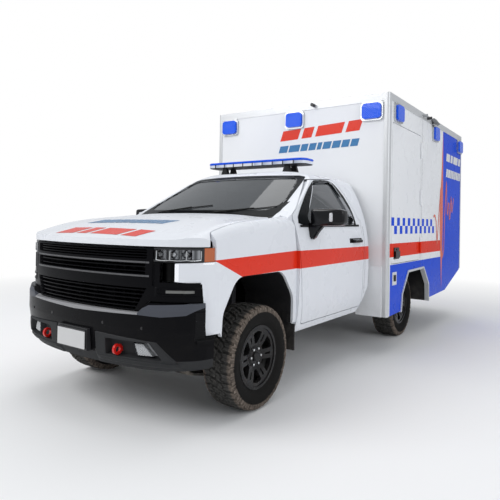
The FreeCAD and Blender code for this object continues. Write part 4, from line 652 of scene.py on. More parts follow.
class Solids:
    """Points and faces of simple solids that make up one piece."""

    def __init__(self):
        self.points = []
        self.faces = []

    def add(self, points, faces):
        start = len(self.points)
        self.points += [tuple(point) for point in points]
        self.faces += [tuple(start + index for index in face) for face in faces]
        return self

    def sweep(self, rings, closed=False):
        """Joins rings of points, in order, to one solid."""
        points = [point for ring in rings for point in ring]
        return self.add(points, swept_faces(0, len(rings), len(rings[0]), closed))

    def box(self, corner, other_corner):
        """A block between two opposite corners, in any order."""
        xs, ys, zs = (sorted(pair) for pair in zip(corner, other_corner))
        points = [(x, y, z) for z in zs for y in ys for x in xs]
        faces = [(0, 2, 3, 1), (4, 5, 7, 6), (0, 1, 5, 4), (2, 6, 7, 3), (0, 4, 6, 2), (1, 3, 7, 5)]
        return self.add(points, faces)

    def prism(self, outline, way, start=(0, 0, 0)):
        """A flat outline of 3D points, moved to a start and drawn out by a vector."""
        near = [Vector(point) + Vector(start) for point in outline]
        return self.sweep([near, [point + Vector(way) for point in near]])

    def rod(self, start, end, radius, sides=16, end_radius=None):
        start, end = Vector(start), Vector(end)
        way = (end - start).normalized()
        side = way.orthogonal().normalized()
        other = way.cross(side)
        ends = ((start, radius), (end, radius if end_radius is None else end_radius))
        return self.sweep([circle(place, side, other, size, sides) for place, size in ends])

    def tube(self, path, radius, sides=8):
        """A round bar along a path."""
        path = [Vector(point) for point in path]
        rings = []
        for i, point in enumerate(path):
            way = (path[min(i + 1, len(path) - 1)] - path[max(i - 1, 0)]).normalized()
            side = way.cross(Vector((0.31, 0.17, 0.93))).normalized()
            rings.append(circle(point, side, way.cross(side), radius, sides))
        return self.sweep(rings)

    def moved(self, change):
        """The same solids with each point changed by a function or a matrix."""
        move = change if callable(change) else lambda point: change @ point
        self.points = [tuple(move(Vector(point))) for point in self.points]
        return self

    def place(self, name, body, material, slot, smooth=False, round_edge=0.0, segments=2):
        """Makes the piece, rounds its edges if asked, and lets it ride on a body."""
        mesh = bpy.data.meshes.new(name)
        mesh.from_pydata(self.points, [], self.faces)
        shape = bmesh.new()
        shape.from_mesh(mesh)
        bmesh.ops.recalc_face_normals(shape, faces=shape.faces)
        if round_edge:
            bmesh.ops.bevel(shape, geom=shape.edges, offset=round_edge, segments=segments, affect="EDGES")
        shape.to_mesh(mesh)
        shape.free()
        mesh.materials.append(MATERIALS[material])
        if smooth or round_edge:
            mesh.shade_smooth()
            mesh.set_sharp_from_angle(angle=math.radians(38))
        item = bpy.data.objects.new(name, mesh)
        bpy.context.scene.collection.objects.link(item)
        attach(item, body)
        return item


# Laying flat pieces on the solids. Paths on a side are given as (distance behind the front axle, height).

RAY_START = 4.0
BACKWARD = (0, 1, 0)
DOWNWARD = (0, 0, -1)


def skin_of(*nodes):
    """The outer faces of some nodes at rest, to lay flat pieces on."""
    shape = bmesh.new()
    for node in nodes:
        shape.from_mesh(NODES[node].data)
    tree = BVHTree.FromBMesh(shape)
    shape.free()
    return tree


def inward(side):
    return Vector((-side, 0, 0))


def side_path(*points):
    return [Vector((0.0, along(distance), z)) for distance, z in points]


def dense(path, step):
    """The same path with points no further apart than a step."""
    whole = []
    for start, end in zip(path, path[1:]):
        start, end = Vector(start), Vector(end)
        count = max(1, math.ceil((end - start).length / step))
        whole += [start.lerp(end, i / count) for i in range(count)]
    return whole + [Vector(path[-1])]


def lay(skin, point, way, lift=0.0):
    """Where a point lands on a skin along a way, lifted off it a little."""
    way = Vector(way)
    place = skin.ray_cast(Vector(point) - way * RAY_START, way)[0]
    return place - way * lift if place else None


def lay_patch(solids, corners):
    """Adds a flat face between laid corners, if all of them landed."""
    if all(corners):
        solids.add(corners, [tuple(range(len(corners)))])


def ribbon(solids, skin, path, width, way, lift, step=0.03):
    """A flat strip laid on a skin along a path."""
    way = Vector(way)
    points = dense(path, step)
    pairs = []
    for i, point in enumerate(points):
        run = points[min(i + 1, len(points) - 1)] - points[max(i - 1, 0)]
        side = run.cross(way).normalized() * width / 2
        pairs.append([lay(skin, place, way, lift) for place in (point + side, point - side)])
    for pair, after in zip(pairs, pairs[1:]):
        corners = (*pair, *after[::-1])
        if all(corners) and (corners[0] - corners[3]).length < 3 * step + width:
            lay_patch(solids, corners)
    return solids


def pane_outline(node, axis, wanted=lambda point: True):
    """The outline of a pane seen along an axis, as its convex hull, in order."""
    across, up = (i for i in range(3) if i != axis)
    corners = [vertex.co for vertex in NODES[node].data.vertices if wanted(vertex.co)]
    points = sorted({(round(co[across], 4), round(co[up], 4)) for co in corners})
    hull = []
    for run in (points, points[::-1]):
        part = []
        for point in run:
            while len(part) > 1:
                (ax, ay), (bx, by) = part[-2], part[-1]
                if (bx - ax) * (point[1] - ay) - (by - ay) * (point[0] - ax) > 0:
                    break
                part.pop()
            part.append(point)
        hull += part[:-1]
    return hull


def turning(path):
    """Which way round a closed outline goes."""
    return sum(a[0] * b[1] - b[0] * a[1] for a, b in zip(path, path[1:] + path[:1])) > 0


def even_points(path, count):
    """Evenly spaced points round a closed flat outline."""
    lengths = [math.dist(a, b) for a, b in zip(path, path[1:] + path[:1])]
    at, used = 0, 0.0
    ring = []
    for i in range(count):
        wanted = sum(lengths) * i / count
        while used + lengths[at] < wanted:
            used += lengths[at]
            at += 1
        part = (wanted - used) / lengths[at]
        ring.append([a + (b - a) * part for a, b in zip(path[at], path[(at + 1) % len(path)])])
    return ring


def blend_ring(skin, inner, outer, plane_axis, way, steps, rows, lift=0.003):
    """A band laid on a skin between a closed inner outline and a closed outer one."""
    if turning(inner) != turning(outer):
        inner.reverse()
    first, second = even_points(inner, steps), even_points(outer, steps)
    shift = min(range(steps), key=lambda n: math.dist(first[0], second[n]))
    second = second[shift:] + second[:shift]
    grid = []
    for row in range(rows + 1):
        line = []
        for near, far in zip(first, second):
            place = [a + (b - a) * row / rows for a, b in zip(near, far)]
            place.insert(plane_axis, 0.0)
            line.append(lay(skin, place, way, lift))
        grid.append(line)
    ring = Solids()
    for line, beyond in zip(grid, grid[1:]):
        for i in range(steps):
            after = (i + 1) % steps
            lay_patch(ring, (line[i], line[after], beyond[after], beyond[i]))
    return ring


def cushion(corner, other_corner, bulge, steps=10):
    """A soft block with rounded edges and slightly swollen faces."""
    squareness = 8
    pairs = [sorted(pair) for pair in zip(corner, other_corner)]
    centre = [(low + high) / 2 for low, high in pairs]
    half = [(high - low) / 2 for low, high in pairs]
    ticks = [2 * i / steps - 1 for i in range(steps + 1)]
    faces = []
    for i in range(steps):
        for k in range(steps):
            at = i * (steps + 1) + k
            faces.append((at, at + 1, at + steps + 2, at + steps + 1))
    solids = Solids()
    for axis in range(3):
        for sign in (1, -1):
            grid = []
            for a in ticks:
                for b in ticks:
                    unit = [0.0, 0.0, 0.0]
                    unit[axis], unit[(axis + 1) % 3], unit[(axis + 2) % 3] = sign, a, b
                    length = sum(abs(value) ** squareness for value in unit) ** (1 / squareness)
                    share = [value / length for value in unit]
                    share[axis] *= 1 + bulge * (1 - a * a) * (1 - b * b)
                    grid.append([centre[n] + half[n] * share[n] / (1 + bulge) for n in range(3)])
            solids.add(grid, faces)
    return solids


# Wheels. The tyre's section goes from the outer bead over the tread to the inner bead, as (x, radius, place
# across): the place is 1 at the tread's outer edge, 2 at the bead, and -3 inside the tyre.

BEAD_X = 0.0995
BEAD_RADIUS = 0.2365
SIDE_WALL = ((BEAD_X, BEAD_RADIUS, 2.0), (BEAD_X + 0.006, BEAD_RADIUS + 0.012, 2.0), (0.1250, 0.272, 2.0),
             (0.1340, 0.292, 1.9), (0.1368, 0.310, 1.8), (0.1372, 0.326, 1.7), (0.1366, 0.342, 1.55),
             (0.1356, 0.356, 1.4), (0.1348, 0.368, 1.3), (0.1338, 0.379, 1.2), (0.1300, 0.3880, 1.1))
INSIDE_WALL = ((0.085, 0.25, -3.0), (0.120, 0.31, -3.0), (0.118, 0.37, -3.0))
INSIDE_CROWN = (0.0, 0.385, -3.0)
TREAD_HALF = 0.1262
TREAD_CROWN = 0.0125
TREAD_STEPS = 46
TREAD_DEPTH = 0.012
GROOVE_DEPTH = 0.7 * TREAD_DEPTH
NOTCH_DEPTH = 0.007
LUG_COUNT = 34
AROUND = 17 * LUG_COUNT

# Shares of the tread's half width
CHANNEL_SHARE = 0.40
CHANNEL_SWING_SHARE = 0.055
CHANNEL_HALF_SHARE = 0.055
GROOVE_SWING_SHARE = 0.05
GROOVE_HALF_SHARE = 0.035
NOTCH_END_SHARES = (1.32, 1.42)

# Cuts as (start, end, share of the depth), where start and end are shares of a lug's pitch
NOTCH_SHARES = ((0.0, 0.30, 1.0), (0.52, 0.60, 1.0))
INNER_CUT_SHARES = ((0.0, 0.24, 1.0), (0.58, 0.66, 0.25))
OUTER_CUT_SHARES = ((0.0, 0.28, 1.0), (0.60, 0.66, 0.3))
INNER_SLANT_SHARE = 0.9
OUTER_SLANT_SHARE = 0.25

NUT_COUNT = 6
NUT_CIRCLE = 0.066
NUT_STEPS = (((0.076, 0.091), 0.0105, 6, 0.0105), ((0.091, 0.095), 0.0090, 10, 0.004))
CAP_STEPS = (((0.078, 0.092), 0.038, 40, 0.038), ((0.092, 0.097), 0.035, 40, 0.029))


def tyre_section():
    tread = []
    for i in range(TREAD_STEPS + 1):
        across = 1 - 2 * i / TREAD_STEPS
        tread.append((TREAD_HALF * across, TYRE_RADIUS - 0.0001 - TREAD_CROWN * abs(across) ** 6, across))
    other = [(-x, radius, -across) for x, radius, across in SIDE_WALL[::-1]]
    inside = [(-x, radius, across) for x, radius, across in INSIDE_WALL]
    return [*SIDE_WALL, *tread, *other, *inside, INSIDE_CROWN, *INSIDE_WALL[::-1]]


def zigzag(value):
    return 2 * abs(2 * (value % 1.0) - 1) - 1


def cut_share(phase, cuts):
    """The share of the full depth that a table of cuts gives at a place in a lug's pitch."""
    for start, end, share in cuts:
        if start <= phase % 1.0 < end:
            return share
    return 0.0


def tread_depth(phase, across):
    """How deep the tread is cut at a place: zigzag channels, slanted block gaps and side notches."""
    far = abs(across)
    turned = phase if across > 0 else phase + 0.5
    if far > 1.0:
        end = NOTCH_END_SHARES[int(turned) % 2]
        return NOTCH_DEPTH * cut_share(turned, NOTCH_SHARES) if far < end else 0.0
    channel = CHANNEL_SHARE + CHANNEL_SWING_SHARE * zigzag(2 * phase)
    if abs(far - channel) < CHANNEL_HALF_SHARE:
        return TREAD_DEPTH
    if far > channel:
        return TREAD_DEPTH * cut_share(turned + OUTER_SLANT_SHARE * far, OUTER_CUT_SHARES)
    if abs(across - GROOVE_SWING_SHARE * zigzag(phase + 0.25)) < GROOVE_HALF_SHARE:
        return GROOVE_DEPTH
    return TREAD_DEPTH * cut_share(phase + INNER_SLANT_SHARE * across, INNER_CUT_SHARES)


def make_tyre(name, body, centre, side):
    section = tyre_section()
    rings = []
    for i in range(AROUND):
        phase = LUG_COUNT * i / AROUND
        turn = 2 * math.pi * i / AROUND
        ring = []
        for x, radius, across in section:
            cut = tread_depth(phase, across)
            if abs(across) > 1.0:
                x -= math.copysign(cut, x)
            else:
                radius -= cut
            ring.append(centre + Vector((side * x, radius * math.sin(turn), radius * math.cos(turn))))
        rings.append(ring)
    item = Solids().sweep(rings, closed=True).place(name, body, "tyre", "tyre", smooth=True)
    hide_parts(body.replace("wheel", "tyre"))


def stepped_rod(solids, centre, side, steps):
    """Rods end to end along the axle: (distances out from the wheel's middle, radius, sides, end radius)."""
    for xs, radius, sides, end_radius in steps:
        start, end = (centre + Vector((side * x, 0, 0)) for x in xs)
        solids.rod(start, end, radius, sides, end_radius)
    return solids


def make_wheel_details(body, centre, side):
    """Lug nuts and the centre cap of one wheel."""
    nuts = Solids()
    for i in range(NUT_COUNT):
        turn = 2 * math.pi * (i + 0.5) / NUT_COUNT
        place = centre + Vector((0, math.sin(turn), math.cos(turn))) * NUT_CIRCLE
        stepped_rod(nuts, place, side, NUT_STEPS)
    nuts.place(body + "_nuts", body, "bezel_chrome", "bezel_chrome", smooth=True)
    cap = stepped_rod(Solids(), centre, side, CAP_STEPS)
    cap.place(body + "_cap", body, "rim_black", "rim_black", smooth=True)


def make_wheels():
    for end in ("front", "rear"):
        for hand, side in HANDS:
            body = f"wheel_{end}_{hand}"
            centre = middle(f"tyre_{end}_{hand}")
            make_tyre(f"tread_{end}_{hand}", body, centre, side)
            make_wheel_details(body, centre, side)


# The nose, as slabs that follow its plan curve with their depths worked out at each point

NOSE_ACROSS_SHARES = (0.0, 0.3, 0.55, 0.75, 0.88, 0.96, 1.0)
NOSE_BACK_SHARES = (0.0, 0.035, 0.12, 0.26, 0.45, 0.68, 1.0)
NOSE_HALF = 1.020
NOSE_DEPTH = 0.430
NOSE_AHEAD = 0.990
NOTCH_Y = along(-0.672)
SHUT_GAP = 0.008

# Bumper
BUMPER_ROUND_SHARES = ((0.0, 1.0), (0.18, 0.3), (0.6, 0.0), (0.9, 0.0), (1.0, 0.14))
BUMPER_LOW = 0.440
BUMPER_TOP = 0.906
BUMPER_SKIN = 0.070
BUMPER_BACK = BUMPER_SKIN + 0.012
BUMPER_END = along(-0.600)
FENDER_FOOT = 0.674
DIP_HALF = 0.600
DIP_SLOPE = 0.080
DIP_Z = 0.836
STRIP_RISE = 0.008
STRIP_SOFT = 0.014
RECESS_Z = (0.524, 0.632)
RECESS_IN = 0.330
RECESS_OUT = ((0.524, 0.776), (0.632, 0.690))
RECESS_SINK = 0.056
BUMPER_SOFT = 0.012
FOG_SINK = 0.024
FOG_RIB = 0.004
FOG_RIB_TURNS = 330.0
SILL_Z = (0.470, 0.500)
SILL_X = (0.250, 0.900)
SILL_RISE = 0.010
STEP_START = along(-0.725)
STEP_Z = (0.634, 0.664)
STEP_RISE = 0.006
SENSORS = ((0.302, 0.740), (0.640, 0.735))
SENSOR_RADIUS = 0.011

# Grille openings, each as its lower end and its upper one, both (height, half width), and its number of bars
OPENINGS = (((1.204, 0.652), (1.262, 0.652), 3), ((1.098, 0.640), (1.164, 0.640), 2),
            ((0.854, 0.566), (0.998, 0.652), 5))
BAR_HEIGHT = 0.012
BAR_SINK = 0.012
FIN_PITCH = 0.0931
FIN_HALF = 0.003
FIN_SHARE = 0.85
OPENING_SINK = 0.062
GRILLE_INSET = 0.034
GRILLE_BACK = GRILLE_INSET + 0.080
GRILLE_LEVELS = (1.045, 1.179, 1.275)
TONGUE_Y = along(-0.849)

# Raised and sunk fields of the grille: (depth, fars, softness across, heights, softness upwards)
GRILLE_FIELDS = ((-0.005, (-1.0, 0.649), 0.004, (1.079, 1.088), 0.003),
                 (-0.005, (-1.0, 0.649), 0.004, (1.172, 1.181), 0.003),
                 (-0.004, (0.724, 0.975), 0.006, (0.955, 1.010), 0.003),
                 (0.008, (0.742, 0.950), 0.006, (0.967, 0.998), 0.003),
                 (0.006, (0.700, 0.712), 0.003, (1.02, 1.17), 0.004),
                 (-0.005, (0.900, 2.0), 0.02, (0.0, 1.044), 0.004))

# Headlamps and daylight lamps
LAMP_BACK = GRILLE_INSET + 0.050
LAMP_INSET = GRILLE_INSET + 0.003
CELL_INSET = GRILLE_INSET + 0.028
CELL_SOFT = 0.006
PROJECTOR_RADIUS = 0.023
PROJECTOR_RISE = 0.016
RIM_STEPS = 8
RIM_DROP = 0.004
RIM_RADIUS = 0.0042
RIM_FOOT_RADIUS = 0.0034
RIM_LEAN_TURN = 0.005
DAY_ARM_X = 0.972
DAY_LIFT = 0.0025


def curve_point(values, place):
    """A smooth curve through evenly spaced values, at a place between 0 and the last one's number."""
    at = min(int(place), len(values) - 2)
    part = place - at
    before = values[at - 1] if at else 2 * values[0] - values[1]
    after = values[at + 2] if at + 2 < len(values) else 2 * values[-1] - values[-2]
    a, b = values[at], values[at + 1]
    return 0.5 * (2 * a + (b - before) * part + (2 * before - 5 * a + 4 * b - after) * part ** 2
                  + (3 * a - before - 3 * b + after) * part ** 3)


def nose_place(turn, inset):
    """A place on the nose in plan, from -6 at its right end over 0 to 6 at its left end."""
    far = abs(turn)
    across = curve_point(NOSE_ACROSS_SHARES, far) if far >= 1 else NOSE_ACROSS_SHARES[1] * far
    back = curve_point(NOSE_BACK_SHARES, far) if far >= 1 else NOSE_BACK_SHARES[1] * far * far
    x = math.copysign(across * (NOSE_HALF - inset), turn)
    return x, along(back * NOSE_DEPTH + inset - NOSE_AHEAD)


def turn_where(wanted, axis, inset=0.0):
    """Where along the left half of the nose its x or its y first reaches a value."""
    low, high = 0.0, float(len(NOSE_ACROSS_SHARES) - 1)
    for _ in range(40):
        half = (low + high) / 2
        if nose_place(half, inset)[axis] < wanted:
            low = half
        else:
            high = half
    return low


def rise(value, edge, soft=0.004):
    """From 0 to 1 as a value passes an edge, over a short soft step."""
    share = min(max((value - edge) / soft + 0.5, 0.0), 1.0)
    return share * share * (3 - 2 * share)


def within(value, low, high, soft=0.004):
    return rise(value, low, soft) * (1 - rise(value, high, soft))


def line_at(points, value):
    """The height of a line through points, at a value across."""
    if value <= points[0][0]:
        return points[0][1]
    for (a, low), (b, high) in zip(points, points[1:]):
        if value <= b:
            return low + (high - low) * (value - a) / (b - a)
    return points[-1][1]


def relief(solids, turns, low, high, depth, back, columns, rows):
    """A closed curved slab between two heights, whose face stands at the depth that a function gives."""
    rings = []
    for i in range(columns + 1):
        turn = turns[0] + (turns[1] - turns[0]) * i / columns
        far = abs(nose_place(turn, 0.0)[0])
        foot, top = (edge(far) if callable(edge) else edge for edge in (low, high))
        zs = [foot + (top - foot) * k / rows for k in range(rows + 1)]
        face = [(*nose_place(turn, depth(far, z)), z) for z in zs]
        rings.append(face + [(*nose_place(turn, back), z) for z in (top, foot)])
    return solids.sweep(rings)


def bumper_top(far):
    return DIP_Z + (BUMPER_TOP - DIP_Z) * min(max((far - DIP_HALF) / DIP_SLOPE, 0.0), 1.0)


def round_depth(far, z):
    """The bumper's rounded foot and brow, all along it."""
    level = (z - BUMPER_LOW) / (BUMPER_TOP - BUMPER_LOW)
    return BUMPER_SKIN * line_at(BUMPER_ROUND_SHARES, level)


def bumper_depth(far, z):
    """Rounded foot and brow, the raised lower strip and sill, and the recess with its fog lamp."""
    strip = (1 - rise(z, line_at(STRIP_TOP, far), STRIP_SOFT)) * rise(far, STRIP_START_X, STRIP_SOFT)
    sill = within(z, *SILL_Z, BUMPER_SOFT) * within(far, *SILL_X, 0.05)
    room = within(z, *RECESS_Z, BUMPER_SOFT) * within(far, RECESS_IN, line_at(RECESS_OUT, z), BUMPER_SOFT)
    fog = within(z, *FOG_Z) * within(far, line_at(FOG_IN, z), line_at(FOG_OUT, z))
    lens_sink = FOG_SINK + FOG_RIB * math.sin(far * FOG_RIB_TURNS) * math.sin(z * FOG_RIB_TURNS)
    sunk = RECESS_SINK * (1 - fog) + lens_sink * fog
    return round_depth(far, z) - STRIP_RISE * strip - SILL_RISE * sill + sunk * room


def make_bumper():
    notch, end, step = (turn_where(y, 1) for y in (NOTCH_Y, BUMPER_END, STEP_START))
    solids = Solids()
    relief(solids, (-notch, notch), BUMPER_LOW, bumper_top, bumper_depth, BUMPER_BACK, 380, 104)
    for hand, side in HANDS:
        relief(solids, (side * notch, side * end), BUMPER_LOW, FENDER_FOOT, round_depth, BUMPER_BACK, 16, 24)
        relief(solids, (side * step, side * end), *STEP_Z, lambda far, z: -STEP_RISE, BUMPER_SKIN, 18, 2)
    item = solids.place("nose_bumper", "chassis", "bumper_paint", "black_gloss", smooth=True)
    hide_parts("front_bumper")


def opening_depth(far, z, foot, top, bars):
    """How much of one barred opening is at a place, and how deep it is there."""
    room = within(z, foot[0], top[0], 0.006) * (1 - rise(far, line_at((foot, top), z), 0.008))
    pitch = (top[0] - foot[0]) / bars
    from_bar = abs((z - foot[0]) % pitch - pitch / 2)
    from_fin = abs((far + FIN_PITCH / 2) % FIN_PITCH - FIN_PITCH / 2)
    filled = max(1 - rise(from_bar, BAR_HEIGHT / 2, 0.003), FIN_SHARE * (1 - rise(from_fin, FIN_HALF)))
    return room, BAR_SINK * filled + OPENING_SINK * (1 - filled)


def grille_depth(far, z):
    depth = 0.0
    for foot, top, bars in OPENINGS:
        room, sunk = opening_depth(far, z, foot, top, bars)
        depth = depth * (1 - room) + sunk * room
    for sunk, fars, far_soft, zs, z_soft in GRILLE_FIELDS:
        depth += sunk * within(far, *fars, far_soft) * within(z, *zs, z_soft)
    return GRILLE_INSET + depth


def make_grille():
    notch, tongue = (turn_where(y, 1, GRILLE_INSET) for y in (NOTCH_Y, TONGUE_Y))
    lamp = turn_where(LAMP_IN - SHUT_GAP / 2, 0, GRILLE_INSET)
    low, level, high = GRILLE_LEVELS
    solids = Solids()
    relief(solids, (-lamp, lamp), level, high, grille_depth, GRILLE_BACK, 300, 40)
    relief(solids, (-tongue, tongue), low, level, grille_depth, GRILLE_BACK, 310, 52)
    relief(solids, (-notch, notch), lambda far: bumper_top(far) + SHUT_GAP, low, grille_depth, GRILLE_BACK,
           340, 84)
    item = solids.place("nose_grille", "chassis", "grille_paint", "black_gloss", smooth=True)
    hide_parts("grille")


def lamp_depth(far, z):
    """Three sunk cells with a round projector in each."""
    depth = LAMP_INSET
    for start, end in zip(CELL_EDGES, CELL_EDGES[1:]):
        room = within(far, start + CELL_RIM, end - CELL_RIM, CELL_SOFT)
        room *= within(z, CELL_LOW, CELL_TOP, CELL_SOFT)
        from_middle = math.hypot(far - (start + end) / 2, z - (CELL_LOW + CELL_TOP) / 2)
        ball = max(0.0, 1 - (from_middle / PROJECTOR_RADIUS) ** 2) ** 0.5
        depth = depth * (1 - room) + (CELL_INSET - PROJECTOR_RISE * ball) * room
    return depth


def make_headlamps():
    inner = turn_where(LAMP_IN, 0, GRILLE_INSET)
    outer = turn_where(DAY_ARM_BACK, 1, GRILLE_INSET)
    solids = Solids()
    for hand, side in HANDS:
        relief(solids, (side * inner, side * outer), LAMP_LOW, LAMP_TOP, lamp_depth, LAMP_BACK, 130, 40)
    item = solids.place("nose_lamps", "chassis", "headlamp_paint", "lamp_clear", smooth=True)
    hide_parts("headlamps")


def rim_post(turn, side):
    """An upright rim between two headlamp cells, leaning towards the middle at its foot."""
    path = []
    for k in range(RIM_STEPS + 1):
        z = CELL_LOW - RIM_DROP + (CELL_TOP - CELL_LOW) * k / RIM_STEPS
        path.append((*nose_place(turn - side * RIM_LEAN_TURN * max(0.0, 3 - k), GRILLE_INSET), z))
    return path


def rim_foot(turn, next_turn):
    """The rim under a headlamp cell, which sags a little."""
    path = []
    for k in range(RIM_STEPS + 1):
        share = k / RIM_STEPS
        z = CELL_LOW - RIM_DROP - RIM_DROP * math.sin(math.pi * share)
        path.append((*nose_place(turn + (next_turn - turn) * share, GRILLE_INSET), z))
    return path


def make_lamp_trim():
    """Bright rims round the headlamp cells."""
    for hand, side in HANDS:
        trim = Solids()
        turns = [side * turn_where(x, 0, GRILLE_INSET) for x in CELL_EDGES]
        for turn in turns:
            trim.tube(rim_post(turn, side), RIM_RADIUS)
        for turn, next_turn in zip(turns, turns[1:]):
            trim.tube(rim_foot(turn, next_turn), RIM_FOOT_RADIUS)
        trim.place(f"cell_rims_{hand}", "chassis", "bezel_chrome", "bezel_chrome", smooth=True)


def make_day_lamps():
    """White daylight lamps, bent round the fender's front corner under the headlamps."""
    skin = skin_of("front_fenders")
    level = (DAY_ARM_LOW + DAY_Z[1]) / 2
    for hand, side in HANDS:
        x = side * sum(DAY_X) / 2
        upright = [(x, 0, z) for z in DAY_Z]
        lamp = ribbon(Solids(), skin, upright, DAY_X[1] - DAY_X[0], BACKWARD, DAY_LIFT, 0.01)
        arm = [(side * DAY_X[1], DAY_ARM_FRONT, level), (side * DAY_ARM_X, DAY_ARM_BACK, level)]
        inwards = Vector((-side, 1.0, 0)).normalized()
        ribbon(lamp, skin, arm, DAY_Z[1] - DAY_ARM_LOW, inwards, DAY_LIFT, 0.01)
        lamp.place(f"day_lamp_{hand}", "chassis", "day_lamp", "lamp_clear", smooth=True)


def make_sensors():
    """Small parking sensors set in the bumper."""
    dots = Solids()
    for far, z in SENSORS:
        for hand, side in HANDS:
            turn = side * turn_where(far, 0)
            depth = bumper_depth(far, z)
            face, deep = (Vector((*nose_place(turn, depth + inset), z)) for inset in (0.0, 0.010))
            ahead = (face - deep).normalized()
            dots.rod(face - ahead * 0.006, face + ahead * 0.001, SENSOR_RADIUS, 20)
    dots.place("parking_sensors", "chassis", "sensor_grey", "black_plastic", smooth=True)


# Cab: the outlines of the window and windscreen surrounds, as (place along, height) and (far, height)

WINDOW_EDGE = ((0.586, 1.462), (0.600, 1.520), (0.640, 1.560), (0.706, 1.615), (0.838, 1.712), (0.977, 1.797),
               (1.121, 1.868), (1.230, 1.905), (1.420, 1.918), (1.560, 1.915), (1.625, 1.895), (1.668, 1.850),
               (1.735, 1.762), (1.800, 1.640), (1.830, 1.530), (1.840, 1.452), (1.300, 1.440), (0.700, 1.440))
SCREEN_EDGE = ((0.0, 1.952), (0.35, 1.950), (0.648, 1.945), (0.722, 1.930), (0.752, 1.859), (0.774, 1.785),
               (0.804, 1.685), (0.828, 1.613), (0.844, 1.565), (0.830, 1.530), (0.783, 1.515), (0.528, 1.531),
               (0.284, 1.537), (0.0, 1.537))
SCREEN_SHARE = 0.985
SCREEN_BACK_Y = -1.2
BELT_LINE = ((0.60, 1.437), (1.90, 1.447))
BELT_WIDTH = 0.020
CAB_SEAM = ((2.005, 0.70), (2.005, 1.44))
SEAM_WIDTH = 0.004

# Wipers: the foot's x, the tip's x and height, and the blade's reach
WIPERS = ((-0.46, -0.08, 1.600, 0.27), (0.24, 0.60, 1.592, 0.22))
WIPER_FOOT_Z = 1.545
BLADE_DROP = 0.035
BLADE_RISE = 0.018

# Strips on the door handles: (name, material, line, width, lift, smooth)
HANDLE_STRIPS = (("handle_cover", "black_gloss", ((1.665, 1.288), (1.895, 1.288)), 0.040, 0.004, True),
                 ("handle_insert", "bezel_chrome", ((1.70, 1.295), (1.83, 1.295)), 0.008, 0.0055, False))

# Mirrors: the housing's ends, its front and back faces, heights and taper, and the arm's outline
MIRROR_X = (1.004, 1.324)
MIRROR_Y = (-1.650, -1.508)
MIRROR_Z = (1.436, 1.599)
MIRROR_LEVEL = 1.530
MIRROR_TAPER_SHARES = (0.20, 0.10)
ARM_OUTLINE = ((0.970, 1.375), (0.990, 1.332), (1.018, 1.312), (1.040, 1.322), (1.080, 1.385), (1.140, 1.452),
               (1.060, 1.470), (0.970, 1.462))
ARM_Y = (-1.628, -1.570)
ARM_ROUND = 0.012


def make_window_surrounds():
    """The dark surround that makes each door window reach the door's edge, and the belt strip below it."""
    for hand, side in HANDS:
        body, pane = f"door_{hand}", f"door_{hand}_glass"
        skin = skin_of(body, pane)
        outer = [(along(distance), z) for distance, z in WINDOW_EDGE]
        ring = blend_ring(skin, pane_outline(pane, 0), outer, 0, inward(side), 160, 10)
        ring.place(f"window_surround_{hand}", body, "surround_black", "black_gloss", smooth=True)
        belt = ribbon(Solids(), skin, side_path(*BELT_LINE), BELT_WIDTH, inward(side), 0.008)
        belt.place(f"window_belt_{hand}", body, "rubber_black", "black_plastic")


def make_screen_surround():
    """The dark border of the windscreen, out to the pillars."""
    outline = pane_outline("cab_glass", 1, lambda point: point.y < SCREEN_BACK_Y)
    inner = [(x * SCREEN_SHARE, z) for x, z in outline]
    outer = list(SCREEN_EDGE) + [(-x, z) for x, z in SCREEN_EDGE[-2:0:-1]]
    ring = blend_ring(skin_of("cab_shell", "cab_glass"), inner, outer, 1, BACKWARD, 220, 12)
    ring.place("screen_surround", "chassis", "surround_black", "black_gloss", smooth=True)


def make_wipers():
    """Two wipers resting low on the windscreen."""
    skin = skin_of("cab_shell", "cab_glass")
    wipers = Solids()
    for foot, x, z, blade in WIPERS:
        arm = [(foot, 0, WIPER_FOOT_Z), ((foot + x) / 2, 0, (WIPER_FOOT_Z + z) / 2), (x, 0, z)]
        wiping = [(x - blade, 0, z - BLADE_DROP), (x + blade * 0.8, 0, z + BLADE_RISE)]
        bars = ((arm, 0.06, 0.028, 0.006, 8), (wiping, 0.05, 0.013, 0.005, 6))
        for path, step, lift, radius, sides in bars:
            places = [lay(skin, point, BACKWARD, lift) for point in dense(path, step)]
            wipers.tube([place for place in places if place], radius, sides)
    wipers.place("wipers", "chassis", "rubber_black", "black_plastic", smooth=True)


def make_handle_trim():
    """A glossy cover on each door handle, with a bright insert."""
    for hand, side in HANDS:
        body = f"door_{hand}"
        skin = skin_of(body)
        for name, material, line, width, lift, smooth in HANDLE_STRIPS:
            strip = ribbon(Solids(), skin, side_path(*line), width, inward(side), lift, 0.01)
            strip.place(f"{name}_{hand}", body, material, material, smooth)


def tapered(point):
    """Draws a mirror housing together towards its outer end."""
    out = (abs(point.x) - MIRROR_X[0]) / (MIRROR_X[1] - MIRROR_X[0])
    y = MIRROR_Y[1] + (point.y - MIRROR_Y[1]) * (1 - MIRROR_TAPER_SHARES[0] * out * out)
    z = MIRROR_LEVEL + (point.z - MIRROR_LEVEL) * (1 - MIRROR_TAPER_SHARES[1] * out)
    return point.x, y, z


